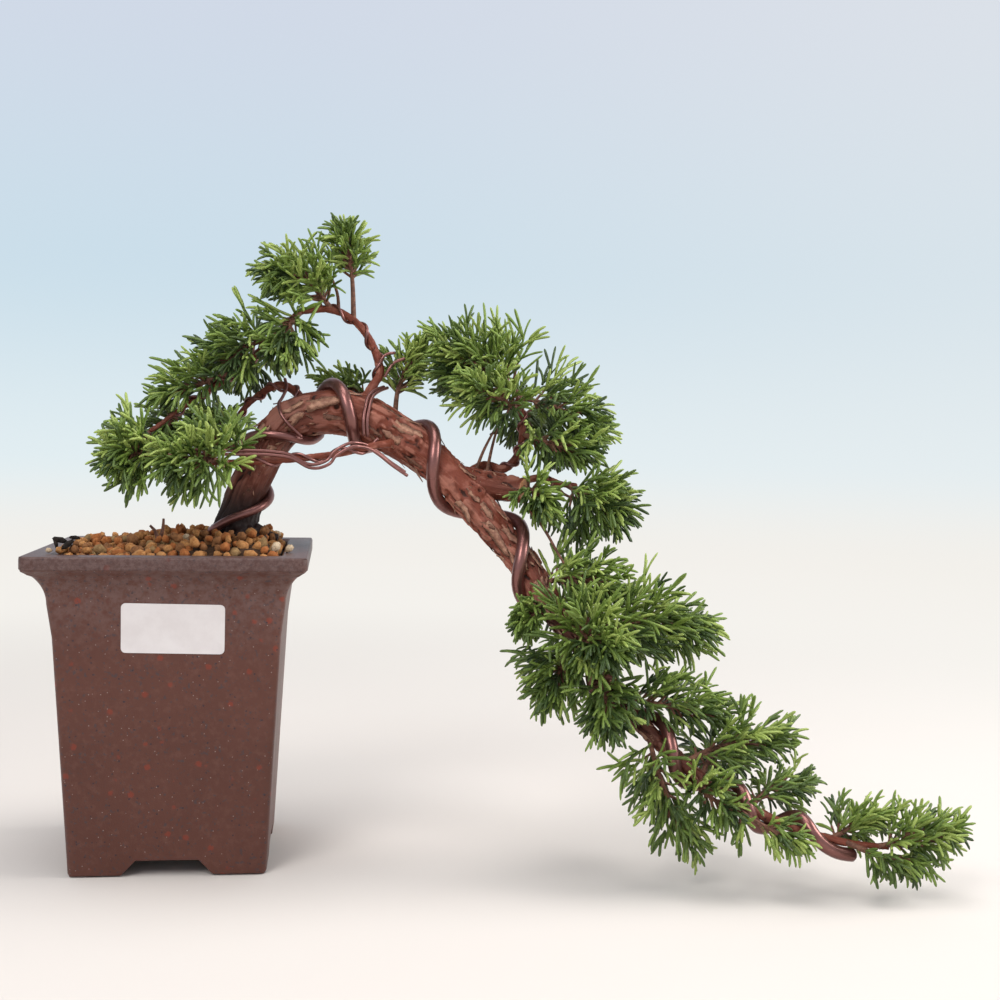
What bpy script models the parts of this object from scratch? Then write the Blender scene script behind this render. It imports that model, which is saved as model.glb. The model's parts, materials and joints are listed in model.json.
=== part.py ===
"""Juniper bonsai trained as a cascade, wired, in a tall square pot.

Lengths are in metres and +Z is up. The origin is on the standing face of the
pot's front left foot: X runs along the pot's front, Y runs to its back.
Limbs and foliage are laid out in millimetres from the middle of the pot's
footprint, with (x, y, z, radius) at each bend of a limb.
"""

import math
import random

import bmesh
import bpy
import numpy as np
from mathutils import Matrix, Vector

MM = 0.001
CLEAR = 0.3 * MM          # gap kept between neighbouring solids

# ---- Pot ----
RIM_WIDTH = 0.1108
RIM_BAND = 0.0053
POT_HEIGHT = 0.130
NECK_WIDTH = 0.0932
NECK_DROP = 0.0195
NECK_START = math.radians(27)   # slope of the neck where it leaves the rim
NECK_STEPS = 5
BELLY_PULL = 0.0018       # how far the wall has drawn in at the belly's height
BELLY_HEIGHT = 0.097
BASE_WIDTH = 0.0790
MOUTH_WIDTH = 0.0890
WELL_WIDTH = 0.0696
FLOOR_TOP = 0.0115
FOOT_HEIGHT = 0.0064
FOOT_RING = 0.0135
NOTCH_WIDTH = 0.037
NOTCH_TOP_WIDTH = 0.025
NOTCH_OVERRUN = 0.15      # share of its height that a foot notch is carried below the pot
DRAIN_RADIUS = 0.007
CORNER_ROUND = 0.003
EDGE_ROUND = 0.001

# ---- Soil ----
SOIL_EDGE = 0.1292
GROUND = 0.1350           # level of the soil round the trunk's foot
PAD_RADIUS = 0.019
MOUND_RADIUS = 0.062
SOIL_SHOULDER = 0.007     # width of the slope from the mound down to the rim
SOIL_CELLS = 9

FOOT_CENTRE = BASE_WIDTH / 2 - FOOT_RING / 2
POT_MIDDLE = Vector((FOOT_CENTRE, FOOT_CENTRE, 0.0))

# ---- Limbs: (x, y, z, radius) in millimetres from the pot's middle ----
# the trunk from the ground over its arch, on down the cascade to its tip
MAIN_LINE = (
    (24, 0, 135.3, 10.6), (24, 0, 140, 8.8), (26.6, 0, 148, 8.0), (31, 0, 159.5, 8.0),
    (37.5, 0, 173, 8.4), (46, 0, 183, 9.0), (59, 0, 188, 9.4), (74, 0, 187, 9.7),
    (89, 0, 179.5, 9.4), (104, -2, 170, 8.7), (116, -5, 159.5, 8.1), (126, -8, 149, 7.5),
    (136, -12, 137, 6.8), (146, -18, 124, 6.0), (155.5, -26, 109, 5.4), (170, -36, 90, 4.5),
    (187, -46, 68, 3.6), (203, -55, 51, 3.0), (221, -63, 38, 2.6), (243, -72, 27, 2.1),
    (266, -79, 21, 1.7), (284, -84, 20, 1.2),
)
MAIN_CUTS = (("trunk_lower", 0.0625), ("trunk_upper", 0.134), ("cascade_upper", 0.218),
             ("cascade_middle", 0.300))     # where each piece ends, along the line
MAIN_TIP = "cascade_tip"
STUB_LINE = ((118, -4.5, 162, 4.6), (124, -5, 160, 5.2), (134, -6.5, 157, 5.7), (149, -8, 155, 5.4))
CROWN_RISE_LINE = (
    (77, 4, 191, 2.8), (81, 5, 199, 2.2), (84.5, 6, 206, 2.0), (81, 8, 218, 1.9),
    (73.5, 8, 227.5, 1.8), (63, 8, 232.5, 1.8), (50, 8, 231.5, 1.7),
)
CROWN_FALL_LINE = (
    (50, 8, 231.5, 1.7), (38, 6, 219, 1.6), (23, 4, 204.5, 1.4), (4, 0, 191, 1.3),
    (-12, -4, 178.5, 1.1),
)
LOW_LINE = (
    (89, -4, 176, 2.2), (88, -11, 175, 1.9), (84, -17, 174.5, 1.7), (76, -20, 172.8, 1.6),
    (66, -21.5, 170.5, 1.6), (51, -24, 168.5, 1.6), (31, -28, 167, 1.5), (11, -32, 166.8, 1.4),
    (-8, -34, 170.5, 1.2),
)
ARCH_LINE = (
    (53, 5, 189, 2.6), (49, 9, 196, 2.1), (42, 10, 199.5, 1.9), (33.5, 12, 196, 1.6),
    (25.5, 12, 188.5, 1.3), (21, 12, 181, 1.1),
)
SHOULDER_LINE = (
    (122, 4, 161, 2.8), (131, 7, 166, 2.2), (139.5, 7, 164.5, 2.0), (146, 7, 172, 1.9),
    (147.5, 8, 185, 1.7), (145, 8, 197, 1.4),
)
RIGHT_LINE = (
    (136, 0, 157, 2.6), (143, 5, 158, 1.9), (155, 3, 161, 1.7), (163, -3, 158.5, 1.5),
    (170, -6, 158, 1.2),
)

# ---- Surface roots at the foot: bearing in degrees, reach from the trunk ----
ROOTS = ((-10, 0.018), (42, 0.015), (118, 0.014), (185, 0.0155), (274, 0.014), (318, 0.016))
ROOT_HEIGHT = 0.007
ROOT_RADIUS = 0.0038
ROOT_TIP_RADIUS = 0.0022

# ---- Wires: distance along the limb in metres, and the bearing round it in degrees ----
# (0 is the arch's outer side, 90 the front, 180 the inner side, 270 the back)
BASE_WIRE_RADIUS = 0.0019
TRUNK_WIRE_RADIUS = 0.0027
WIRE_LIFT = 0.0004
WIRE_STEP = 30            # degrees of winding from point to point
BASE_WIRE_TURNS = ((0.002, 40), (0.019, 170), (0.028, 280), (0.038, 370), (0.047, 455), (0.066, 575))
TRUNK_WIRE_TURNS = ((0.067, -70), (0.080, 90), (0.123, 450), (0.181, 810), (0.232, 1170),
                    (0.283, 1530), (0.319, 1890), (0.346, 2250), (0.362, 2350))


# ---- Foliage ----
STEM_RADIUS = 1.5 * MM
STEM_TIP_RADIUS = 1.0 * MM
TWIG_HALF_WIDTH = 1.2 * MM
TOOTH_HALF_WIDTH = 1.3 * MM
SPRAY_HALF_THICK = 0.75 * MM
TIP_SHORTER = 0.35        # how much shorter the last spray of a stem is than the first
TEETH = ((0.26, 0.52), (0.43, 0.45), (0.60, 0.36))   # place and length on a spray
TOOTH_OPEN = math.radians(40)
SPRAY_OPEN = (math.radians(66), math.radians(14))   # lean off the stem, at its foot and tip
SPRAY_TILT = (0.35, 1.35)  # least and most turn of a spray out of level, in radians
SPACE_SHARE = 1.15        # how far a mass may lean into the space nearer to another stem
GOLDEN_TURN = math.radians(137.5)
SLIDES = (0, 1.5, -1.5, 3, -3, 4.5, -4.5, 6, -6, 8, -8, 10, -10)   # tried for a stem, in mm
SEED = 11

# name: stem (x, y, z) from its limb, reach of its sprays, number of sprays, bare share of stem
MASSES = {
    "foliage_crown_top": (((73, 8, 227), (72, 8, 247), (69, 6, 263)), 19, 5, 0.50),
    "foliage_crown_crest": (((64, 8, 232), (57, 6, 240), (52, 4, 245), (46, 2, 246)), 26, 6, 0.10),
    "foliage_crown_inner": (((50, 8, 231), (46, 1, 225), (43, -4, 217)), 24, 5, 0.15),
    "foliage_crown_middle": (((38, 6, 219), (31, 4, 217), (24, 3, 212), (18, 2, 207)), 24, 6, 0.12),
    "foliage_crown_left": (((22, 4, 204), (13, 1, 201), (4, -1, 197), (-2, -2, 194)), 21, 5, 0.10),
    "foliage_crown_back": (((33, 5, 214), (28, 18, 212), (21, 27, 208)), 23, 4, 0.20),
    "foliage_far_left": (((-12, -4, 178), (-16, -6, 175), (-19, -8, 172)), 18, 5, 0.05),
    "foliage_far_left_back": (((-2, -2, 186), (-5, 8, 184), (-7, 16, 180)), 18, 4, 0.20),
    "foliage_low_tip": (((-8, -34, 170), (-12, -37, 170), (-16, -40, 169)), 21, 5, 0.05),
    "foliage_low_front": (((22, -31, 167), (15, -39, 168), (5, -45, 167)), 23, 6, 0.10),
    "foliage_low_upper": (((30, -28, 167), (24, -28, 173), (14, -28, 176)), 20, 5, 0.20),
    "foliage_arch_left": (((21, 12, 181), (16, 15, 184), (9, 17, 184)), 16, 4, 0.10),
    "foliage_arch_tuft": (((82, 8, 188), (77, 17, 197), (66, 18, 200)), 14, 3, 0.40),
    "foliage_arch_right": (((91, 8, 182), (93, 13, 200), (100, 13, 212)), 19, 5, 0.45),
    "foliage_right_top": (((145, 8, 198), (134, 7, 206), (120, 5, 212)), 28, 7, 0.08),
    "foliage_right_front": (((146, 7, 190), (136, -7, 195), (126, -12, 199)), 20, 5, 0.20),
    "foliage_right_far": (((146, 8, 196), (155, 7, 194), (166, 5, 190), (175, 3, 184)), 24, 6, 0.12),
    "foliage_right_side": (((147, 8, 180), (156, -1, 177), (167, -6, 173)), 24, 5, 0.15),
    "foliage_right_back": (((147, 8, 188), (149, 22, 188), (153, 32, 185)), 22, 4, 0.25),
    "foliage_stub_front": (((146, -9, 157), (149, -16, 156), (152, -21, 152)), 18, 5, 0.10),
    "foliage_right_low": (((166, -5, 158), (172, -8, 154), (180, -10, 149)), 26, 6, 0.05),
    "foliage_cascade_top": (
        ((152, -22, 116), (163, -24, 120), (174, -26, 118), (183, -28, 113)), 22, 6, 0.12),
    "foliage_cascade_right": (
        ((164, -32, 98), (180, -32, 102), (197, -33, 103), (212, -34, 100)), 28, 7, 0.12),
    "foliage_cascade_back": (((159, -28, 104), (167, -9, 105), (176, 3, 104)), 25, 4, 0.25),
    "foliage_cascade_front": (((166, -33, 95), (168, -49, 98), (172, -60, 96)), 26, 7, 0.15),
    "foliage_cascade_left": (((153, -24, 113), (149, -34, 107), (146, -38, 104)), 14, 4, 0.20),
    "foliage_cascade_under": (((166, -33, 95), (161, -36, 87), (157, -40, 77)), 24, 5, 0.15),
    "foliage_cascade_inner": (((176, -40, 82), (175, -52, 78), (176, -59, 70)), 23, 5, 0.15),
    "foliage_fall_right": (((184, -44, 72), (200, -48, 70), (218, -51, 66)), 23, 6, 0.12),
    "foliage_fall_hanging": (((193, -50, 61), (196, -60, 46), (201, -65, 32), (206, -67, 23)), 23, 6, 0.15),
    "foliage_fall_front": (((209, -58, 46), (213, -70, 39), (221, -76, 34)), 19, 5, 0.20),
    "foliage_fall_side": (((207, -57, 48), (223, -54, 54), (241, -55, 56)), 24, 5, 0.15),
    "foliage_fall_back": (((214, -60, 43), (222, -43, 47), (230, -31, 46)), 22, 4, 0.20),
    "foliage_low_right": (((226, -65, 35), (232, -77, 29), (243, -84, 24)), 18, 5, 0.20),
    "foliage_low_over": (((232, -68, 32), (242, -61, 38), (253, -57, 39)), 18, 4, 0.15),
    "foliage_tip_upper": (((262, -78, 21.5), (270, -76, 25), (280, -77, 28)), 16, 5, 0.10),
    "foliage_tip": (((280, -83, 20), (292, -86, 23), (304, -87, 26)), 19, 6, 0.05),
    "foliage_tip_under": (((268, -80, 21), (280, -87, 17), (291, -90, 16)), 13, 4, 0.20),
}


def place(x, y, z):
    """Turns millimetres from the pot's middle into a point of the model."""
    return np.array((x * MM + POT_MIDDLE.x, y * MM + POT_MIDDLE.y, z * MM))


def principled(name, colour, roughness, metallic=0.0):
    """A plain surface."""
    material = bpy.data.materials.new(name)
    material.use_nodes = True
    shader = material.node_tree.nodes["Principled BSDF"]
    shader.inputs["Base Color"].default_value = (*colour, 1.0)
    shader.inputs["Roughness"].default_value = roughness
    shader.inputs["Metallic"].default_value = metallic
    return material


def add_object(name, data, collection, material=None):
    """Links new data as an object of one collection."""
    item = bpy.data.objects.new(name, data)
    collection.objects.link(item)
    if material is not None:
        data.materials.append(material)
    return item


def smooth_line(controls, spacing):
    """Rows of x, y, z, radius along a Catmull-Rom curve through the controls."""
    rows = np.array([(*place(*c[:3]), c[3] * MM) for c in controls])
    before = 2 * rows[0] - rows[1]
    after = 2 * rows[-1] - rows[-2]
    rows = np.vstack((before, rows, after))
    line = []
    for a, b, c, d in zip(rows, rows[1:], rows[2:], rows[3:]):
        steps = max(1, round(np.linalg.norm(c[:3] - b[:3]) / spacing))
        for step in range(steps):
            t = step / steps
            line.append(0.5 * (2 * b + (c - a) * t + (2 * a - 5 * b + 4 * c - d) * t**2
                               + (3 * b - a - 3 * c + d) * t**3))
    line.append(rows[-2])
    return np.array(line)


def lengths(line):
    """Distance from the line's start to each of its points."""
    steps = np.linalg.norm(np.diff(line[:, :3], axis=0), axis=1)
    return np.concatenate(((0.0,), np.cumsum(steps)))


def row_at(line, distance):
    """The line's row at a distance from its start, and the direction there."""
    run = lengths(line)
    row = np.array([np.interp(distance, run, line[:, k]) for k in range(line.shape[1])])
    step = 0.5 * MM
    ahead = np.array([np.interp(distance + step, run, line[:, k]) for k in range(3)])
    behind = np.array([np.interp(distance - step, run, line[:, k]) for k in range(3)])
    heading = ahead - behind
    return row, heading / np.linalg.norm(heading)


def cut_line(line, distance):
    """Two lines that face each other square across a cut."""
    run = lengths(line)
    row, heading = row_at(line, distance)
    flat_run = 1.5 * MM

    def moved(shift):
        return np.append(row[:3] + heading * shift, row[3])

    first = [r for r, d in zip(line, run) if d < distance - 2 * flat_run]
    second = [r for r, d in zip(line, run) if d > distance + 2 * flat_run]
    first += [moved(-flat_run), moved(-CLEAR / 2)]
    second = [moved(CLEAR / 2), moved(flat_run)] + second
    return np.array(first), np.array(second)


def gap_each(points, solids):
    """Distance from each point to the nearest surface of some round-sided segments."""
    points = np.atleast_2d(points)
    starts, ends, radii = solids
    along = ends - starts
    square = np.maximum((along**2).sum(axis=1), 1e-12)
    offset = points[:, None, :] - starts[None]
    share = np.clip((offset * along).sum(axis=2) / square, 0, 1)
    nearest = starts[None] + share[..., None] * along
    return (np.linalg.norm(points[:, None, :] - nearest, axis=2) - radii).min(axis=1)


def segments(*lines):
    """The segments of some lines, as starts, ends and radii."""
    starts = np.vstack([line[:-1, :3] for line in lines])
    ends = np.vstack([line[1:, :3] for line in lines])
    radii = np.concatenate([np.maximum(line[:-1, 3], line[1:, 3]) for line in lines])
    return starts, ends, radii


def end_rings(line):
    """Points round a tube at its flat start and a little way along it."""
    heading = Vector(line[1, :3] - line[0, :3]).normalized()
    side = heading.orthogonal().normalized()
    other = heading.cross(side)
    points = [line[0, :3]]
    for distance in (0.0, 1.5 * MM, 3 * MM):
        row, _ = row_at(line, distance)
        for k in range(24):
            turn = math.tau * k / 24
            points.append(row[:3] + row[3] * np.array(math.cos(turn) * side + math.sin(turn) * other))
    return np.array(points)


def start_clear(line, solids):
    """Shortens a line until its flat start is clear of the limb that carries it."""
    total = lengths(line)[-1]
    run = lengths(line)
    distance = 0.0
    shorter = line
    while gap_each(end_rings(shorter), solids).min() < CLEAR and distance < total / 2:
        distance += 0.25 * MM
        row, _ = row_at(line, distance)
        rest = line[run > distance + 0.8 * MM]
        shorter = np.vstack((row, rest))
    return shorter


def tube(name, line, collection, material, resolution=1):
    """A round limb or wire along a line, tapering as the line's radius does."""
    curve = bpy.data.curves.new(name, "CURVE")
    curve.dimensions = "3D"
    curve.bevel_depth = line[:, 3].max()
    curve.bevel_resolution = resolution
    curve.use_fill_caps = True
    spline = curve.splines.new("POLY")
    spline.points.add(len(line) - 1)
    for point, row in zip(spline.points, line):
        point.co = (*row[:3], 1.0)
        point.radius = row[3] / curve.bevel_depth
    return add_object(name, curve, collection, material)


def as_mesh(item):
    """Replaces a curve object by a mesh object of the same shape with welded caps."""
    bpy.context.view_layer.update()
    evaluated = item.evaluated_get(bpy.context.evaluated_depsgraph_get())
    mesh = bpy.data.meshes.new_from_object(evaluated)
    shape = bmesh.new()
    shape.from_mesh(mesh)
    bmesh.ops.remove_doubles(shape, verts=shape.verts, dist=0.01 * MM)
    shape.to_mesh(mesh)
    shape.free()
    name = item.name
    collection = item.users_collection[0]
    bpy.data.objects.remove(item)
    return add_object(name, mesh, collection)


def cone_between(start, end, radius, tip_radius, sides):
    """A tapering stick of a few sides between two points, as mesh data."""
    shape = bmesh.new()
    along = Vector(end) - Vector(start)
    bmesh.ops.create_cone(
        shape, cap_ends=True, segments=sides, radius1=radius, radius2=tip_radius, depth=along.length)
    turn = along.to_track_quat("Z", "Y").to_matrix().to_4x4()
    middle = (Vector(start) + Vector(end)) / 2
    bmesh.ops.transform(shape, matrix=Matrix.Translation(middle) @ turn, verts=shape.verts)
    mesh = bpy.data.meshes.new("stick")
    shape.to_mesh(mesh)
    shape.free()
    return mesh


def toothed_blade(foot, out, flat, length, teeth):
    """A flat spray of pointed leaves from a twig, as mesh data: one blade with teeth."""
    rises = {1: [], -1: []}
    for side, where, reach in teeth:
        root = length * where
        tip = (root + reach * math.cos(TOOTH_OPEN), reach * math.sin(TOOTH_OPEN))
        rises[side].append(((root - TOOTH_HALF_WIDTH, TWIG_HALF_WIDTH), tip,
                            (root + TOOTH_HALF_WIDTH, TWIG_HALF_WIDTH * (1 - where))))
    outline = [(0.0, -TWIG_HALF_WIDTH), (0.0, TWIG_HALF_WIDTH)]
    outline += [point for tooth in rises[1] for point in tooth]
    outline.append((length, 0.0))
    outline += [(u, -v) for tooth in reversed(rises[-1]) for u, v in reversed(tooth)]
    thin = out.cross(flat).normalized()
    shape = bmesh.new()
    corners = [shape.verts.new(Vector(foot) + out * u + flat * v - thin * SPRAY_HALF_THICK)
               for u, v in outline]
    face = shape.faces.new(corners)
    raised = bmesh.ops.extrude_face_region(shape, geom=[face], use_keep_orig=True)["geom"]
    lifted = [item for item in raised if isinstance(item, bmesh.types.BMVert)]
    bmesh.ops.translate(shape, verts=lifted, vec=thin * 2 * SPRAY_HALF_THICK)
    bmesh.ops.recalc_face_normals(shape, faces=shape.faces)
    mesh = bpy.data.meshes.new("spray")
    shape.to_mesh(mesh)
    shape.free()
    return mesh


def one_body(mesh):
    """True where every edge of a mesh has two faces, and all of it hangs together."""
    shape = bmesh.new()
    shape.from_mesh(mesh)
    closed = all(len(edge.link_faces) == 2 for edge in shape.edges)
    shape.verts.ensure_lookup_table()
    seen = {shape.verts[0]}
    front = [shape.verts[0]]
    while front:
        for edge in front.pop().link_edges:
            for vert in edge.verts:
                if vert not in seen:
                    seen.add(vert)
                    front.append(vert)
    whole = len(seen) == len(shape.verts)
    shape.free()
    return closed and whole


def fuse(item, meshes):
    """Joins some meshes to an object with one union, and applies it."""
    helpers = bpy.data.collections.new("joined")
    bpy.context.scene.collection.children.link(helpers)
    for mesh in meshes:
        add_object("joined_piece", mesh, helpers)
    union = item.modifiers.new("Union", "BOOLEAN")
    union.operation = "UNION"
    union.operand_type = "COLLECTION"
    union.collection = helpers
    for solver in ("EXACT", "MANIFOLD"):
        union.solver = solver
        bpy.context.view_layer.update()
        evaluated = item.evaluated_get(bpy.context.evaluated_depsgraph_get())
        joined = bpy.data.meshes.new_from_object(evaluated)
        if one_body(joined):
            break
    item.modifiers.clear()
    item.data = joined
    for helper in list(helpers.objects):
        bpy.data.objects.remove(helper)
    bpy.data.collections.remove(helpers)


def difference(item, cutter):
    """Cuts one object from another, with both left as they are."""
    cut = item.modifiers.new("Cut", "BOOLEAN")
    cut.operation = "DIFFERENCE"
    cut.object = cutter
    cut.solver = "EXACT"


def cutter_object(name, mesh, cutters):
    """An object that only cuts."""
    item = add_object(name, mesh, cutters)
    item.hide_render = True
    item.display_type = "WIRE"
    return item


# ---- Pot and soil ----

def build_pot(parts, cutters):
    """A square pot: a turned profile of four sides with rounded corners."""
    half_rim = RIM_WIDTH / 2
    half_neck = NECK_WIDTH / 2
    half_base = BASE_WIDTH / 2
    profile = [(0.0, FLOOR_TOP), (WELL_WIDTH / 2 - 3 * EDGE_ROUND, FLOOR_TOP),
               (WELL_WIDTH / 2, FLOOR_TOP + 3 * EDGE_ROUND),
               (MOUTH_WIDTH / 2, POT_HEIGHT - EDGE_ROUND),
               (MOUTH_WIDTH / 2 + EDGE_ROUND, POT_HEIGHT),
               (half_rim - EDGE_ROUND, POT_HEIGHT), (half_rim, POT_HEIGHT - EDGE_ROUND),
               (half_rim, POT_HEIGHT - RIM_BAND)]
    for k in range(1, NECK_STEPS + 1):
        turn = NECK_START + (math.pi / 2 - NECK_START) * k / NECK_STEPS
        inward = (1 - math.sin(turn)) / (1 - math.sin(NECK_START))
        fall = 1 - math.cos(turn) / math.cos(NECK_START)
        profile.append((half_neck + (half_rim - half_neck) * inward,
                        POT_HEIGHT - RIM_BAND - (NECK_DROP - RIM_BAND) * fall))
    profile += [(half_neck - BELLY_PULL, BELLY_HEIGHT), (half_base, EDGE_ROUND),
                (half_base - EDGE_ROUND, 0.0),
                (half_base - FOOT_RING, 0.0), (half_base - FOOT_RING, FOOT_HEIGHT), (0.0, FOOT_HEIGHT)]
    mesh = bpy.data.meshes.new("pot")
    corners = [(width * math.sqrt(2), 0.0, height) for width, height in profile]
    edges = [(k, k + 1) for k in range(len(corners) - 1)]
    mesh.from_pydata(corners, edges, [])
    pot = add_object("pot", mesh, parts, principled("speckled clay", (0.16, 0.075, 0.065), 0.55))
    pot.location = POT_MIDDLE
    pot.rotation_euler = (0.0, 0.0, math.pi / 4)
    screw = pot.modifiers.new("Four sides", "SCREW")
    screw.steps = 4
    screw.render_steps = 4
    screw.use_merge_vertices = True
    screw.merge_threshold = 0.0001
    screw.use_smooth_shade = False
    bevel = pot.modifiers.new("Round corners", "BEVEL")
    bevel.width = CORNER_ROUND
    bevel.segments = 2
    bevel.limit_method = "ANGLE"
    bevel.angle_limit = math.radians(60)

    for name, turn in (("notch_cutter_x", 0.0), ("notch_cutter_y", math.pi / 2)):
        shape = bmesh.new()
        bmesh.ops.create_cube(shape, size=1.0)
        for vert in shape.verts:
            width, height = NOTCH_TOP_WIDTH, FOOT_HEIGHT
            if vert.co.z < 0:
                width = NOTCH_WIDTH + (NOTCH_WIDTH - NOTCH_TOP_WIDTH) * NOTCH_OVERRUN
                height = -FOOT_HEIGHT * NOTCH_OVERRUN
            vert.co = Vector((vert.co.x * width, vert.co.y * RIM_WIDTH, height))
        cutter_mesh = bpy.data.meshes.new(name)
        shape.to_mesh(cutter_mesh)
        shape.free()
        notch = cutter_object(name, cutter_mesh, cutters)
        notch.location = POT_MIDDLE
        notch.rotation_euler = (0.0, 0.0, turn)
        difference(pot, notch)
    hole_low = place(0, 0, 0) + np.array((0, 0, FOOT_HEIGHT / 2))
    hole_high = place(0, 0, 0) + np.array((0, 0, FLOOR_TOP + FOOT_HEIGHT / 2))
    drain_mesh = cone_between(hole_low, hole_high, DRAIN_RADIUS, DRAIN_RADIUS, 20)
    difference(pot, cutter_object("drain_cutter", drain_mesh, cutters))


def soil_height(x, y):
    """Height of the soil at a place measured from the pot's middle."""
    foot = place(*MAIN_LINE[0][:3]) - np.array(POT_MIDDLE)
    away = math.hypot(x - foot[0], y - foot[1])
    share = min(1.0, max(0.0, (away - PAD_RADIUS) / (MOUND_RADIUS - PAD_RADIUS)))
    inside = MOUTH_WIDTH / 2 - 2.5 * CLEAR - max(abs(x), abs(y))
    slope = min(1.0, max(0.0, inside / SOIL_SHOULDER))
    return SOIL_EDGE + (GROUND - SOIL_EDGE) * (1 - share * share * (3 - 2 * share)) * slope


def build_soil(parts):
    """The soil fills the pot and rises in a low mound to the trunk's foot."""
    top = MOUTH_WIDTH / 2 - 2.5 * CLEAR
    bottom = WELL_WIDTH / 2 - 3 * EDGE_ROUND - 2 * CLEAR
    shape = bmesh.new()
    bmesh.ops.create_grid(shape, x_segments=SOIL_CELLS, y_segments=SOIL_CELLS, size=1.0)
    upper = list(shape.verts)
    under = bmesh.ops.extrude_face_region(shape, geom=list(shape.faces), use_keep_orig=True)["geom"]
    lower = [item for item in under if isinstance(item, bmesh.types.BMVert)]
    corner_pull = 0.05
    for verts, half, fixed in ((upper, top, None), (lower, bottom, FLOOR_TOP + CLEAR)):
        for vert in verts:
            x, y = vert.co.x, vert.co.y
            pull = 1 - corner_pull if abs(x) > 0.99 and abs(y) > 0.99 else 1.0
            x, y = x * half * pull, y * half * pull
            vert.co = Vector((x, y, soil_height(x, y) if fixed is None else fixed))
    bmesh.ops.recalc_face_normals(shape, faces=shape.faces)
    mesh = bpy.data.meshes.new("soil")
    shape.to_mesh(mesh)
    shape.free()
    soil = add_object("soil", mesh, parts, principled("baked clay grains", (0.36, 0.20, 0.10), 0.9))
    soil.location = POT_MIDDLE


# ---- Limbs and wires ----

def build_trunk_foot(parts, cutters, line, bark):
    """The lower trunk with its surface roots, cut flat at ground level."""
    item = as_mesh(tube("trunk_lower", line, parts, bark, 2))
    foot = line[0, :3]
    roots = []
    for bearing, reach in ROOTS:
        turn = math.radians(bearing)
        out = np.array((math.cos(turn), math.sin(turn), 0.0))
        start = foot + out * 0.002 + np.array((0, 0, ROOT_HEIGHT))
        end = foot + out * reach + np.array((0, 0, -ROOT_TIP_RADIUS / 2))
        roots.append(cone_between(start, end, ROOT_RADIUS, ROOT_TIP_RADIUS, 5))
    fuse(item, roots)
    item.data.materials.clear()
    item.data.materials.append(bark)
    below = bmesh.new()
    bmesh.ops.create_cube(below, size=4 * PAD_RADIUS)
    mesh = bpy.data.meshes.new("ground_cutter")
    below.to_mesh(mesh)
    below.free()
    cutter = cutter_object("ground_cutter", mesh, cutters)
    cutter.location = (foot[0], foot[1], GROUND + CLEAR - 2 * PAD_RADIUS)
    difference(item, cutter)


def wound_line(line, turns, radius):
    """A wire's line, wound on a limb through pairs of distance and bearing."""
    distances = np.array([turn[0] for turn in turns])
    bearings = np.array([turn[1] for turn in turns])
    count = max(6, round((bearings[-1] - bearings[0]) / WIRE_STEP))
    rows = []
    for k in range(count + 1):
        bearing = bearings[0] + (bearings[-1] - bearings[0]) * k / count
        distance = np.interp(bearing, bearings, distances)
        row, heading = row_at(line, distance)
        outer = np.cross(heading, (0, 1, 0))
        outer /= np.linalg.norm(outer)
        front = np.cross(heading, outer)
        turn = math.radians(bearing)
        widest = max(row_at(line, distance + shift)[0][3] for shift in (-radius, 0, radius))
        off = (widest + radius + WIRE_LIFT) / math.cos(math.radians(WIRE_STEP / 2))
        rows.append((*(row[:3] + off * (math.cos(turn) * outer + math.sin(turn) * front)), radius))
    return np.array(rows)


# ---- Foliage ----

def share_of_reach(points, stem, reach):
    """Distance from points to a mass's stem, as a share of the mass's reach."""
    starts, ends, radii = segments(stem)
    return gap_each(points, (starts, ends, 0 * radii)) / reach


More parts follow.
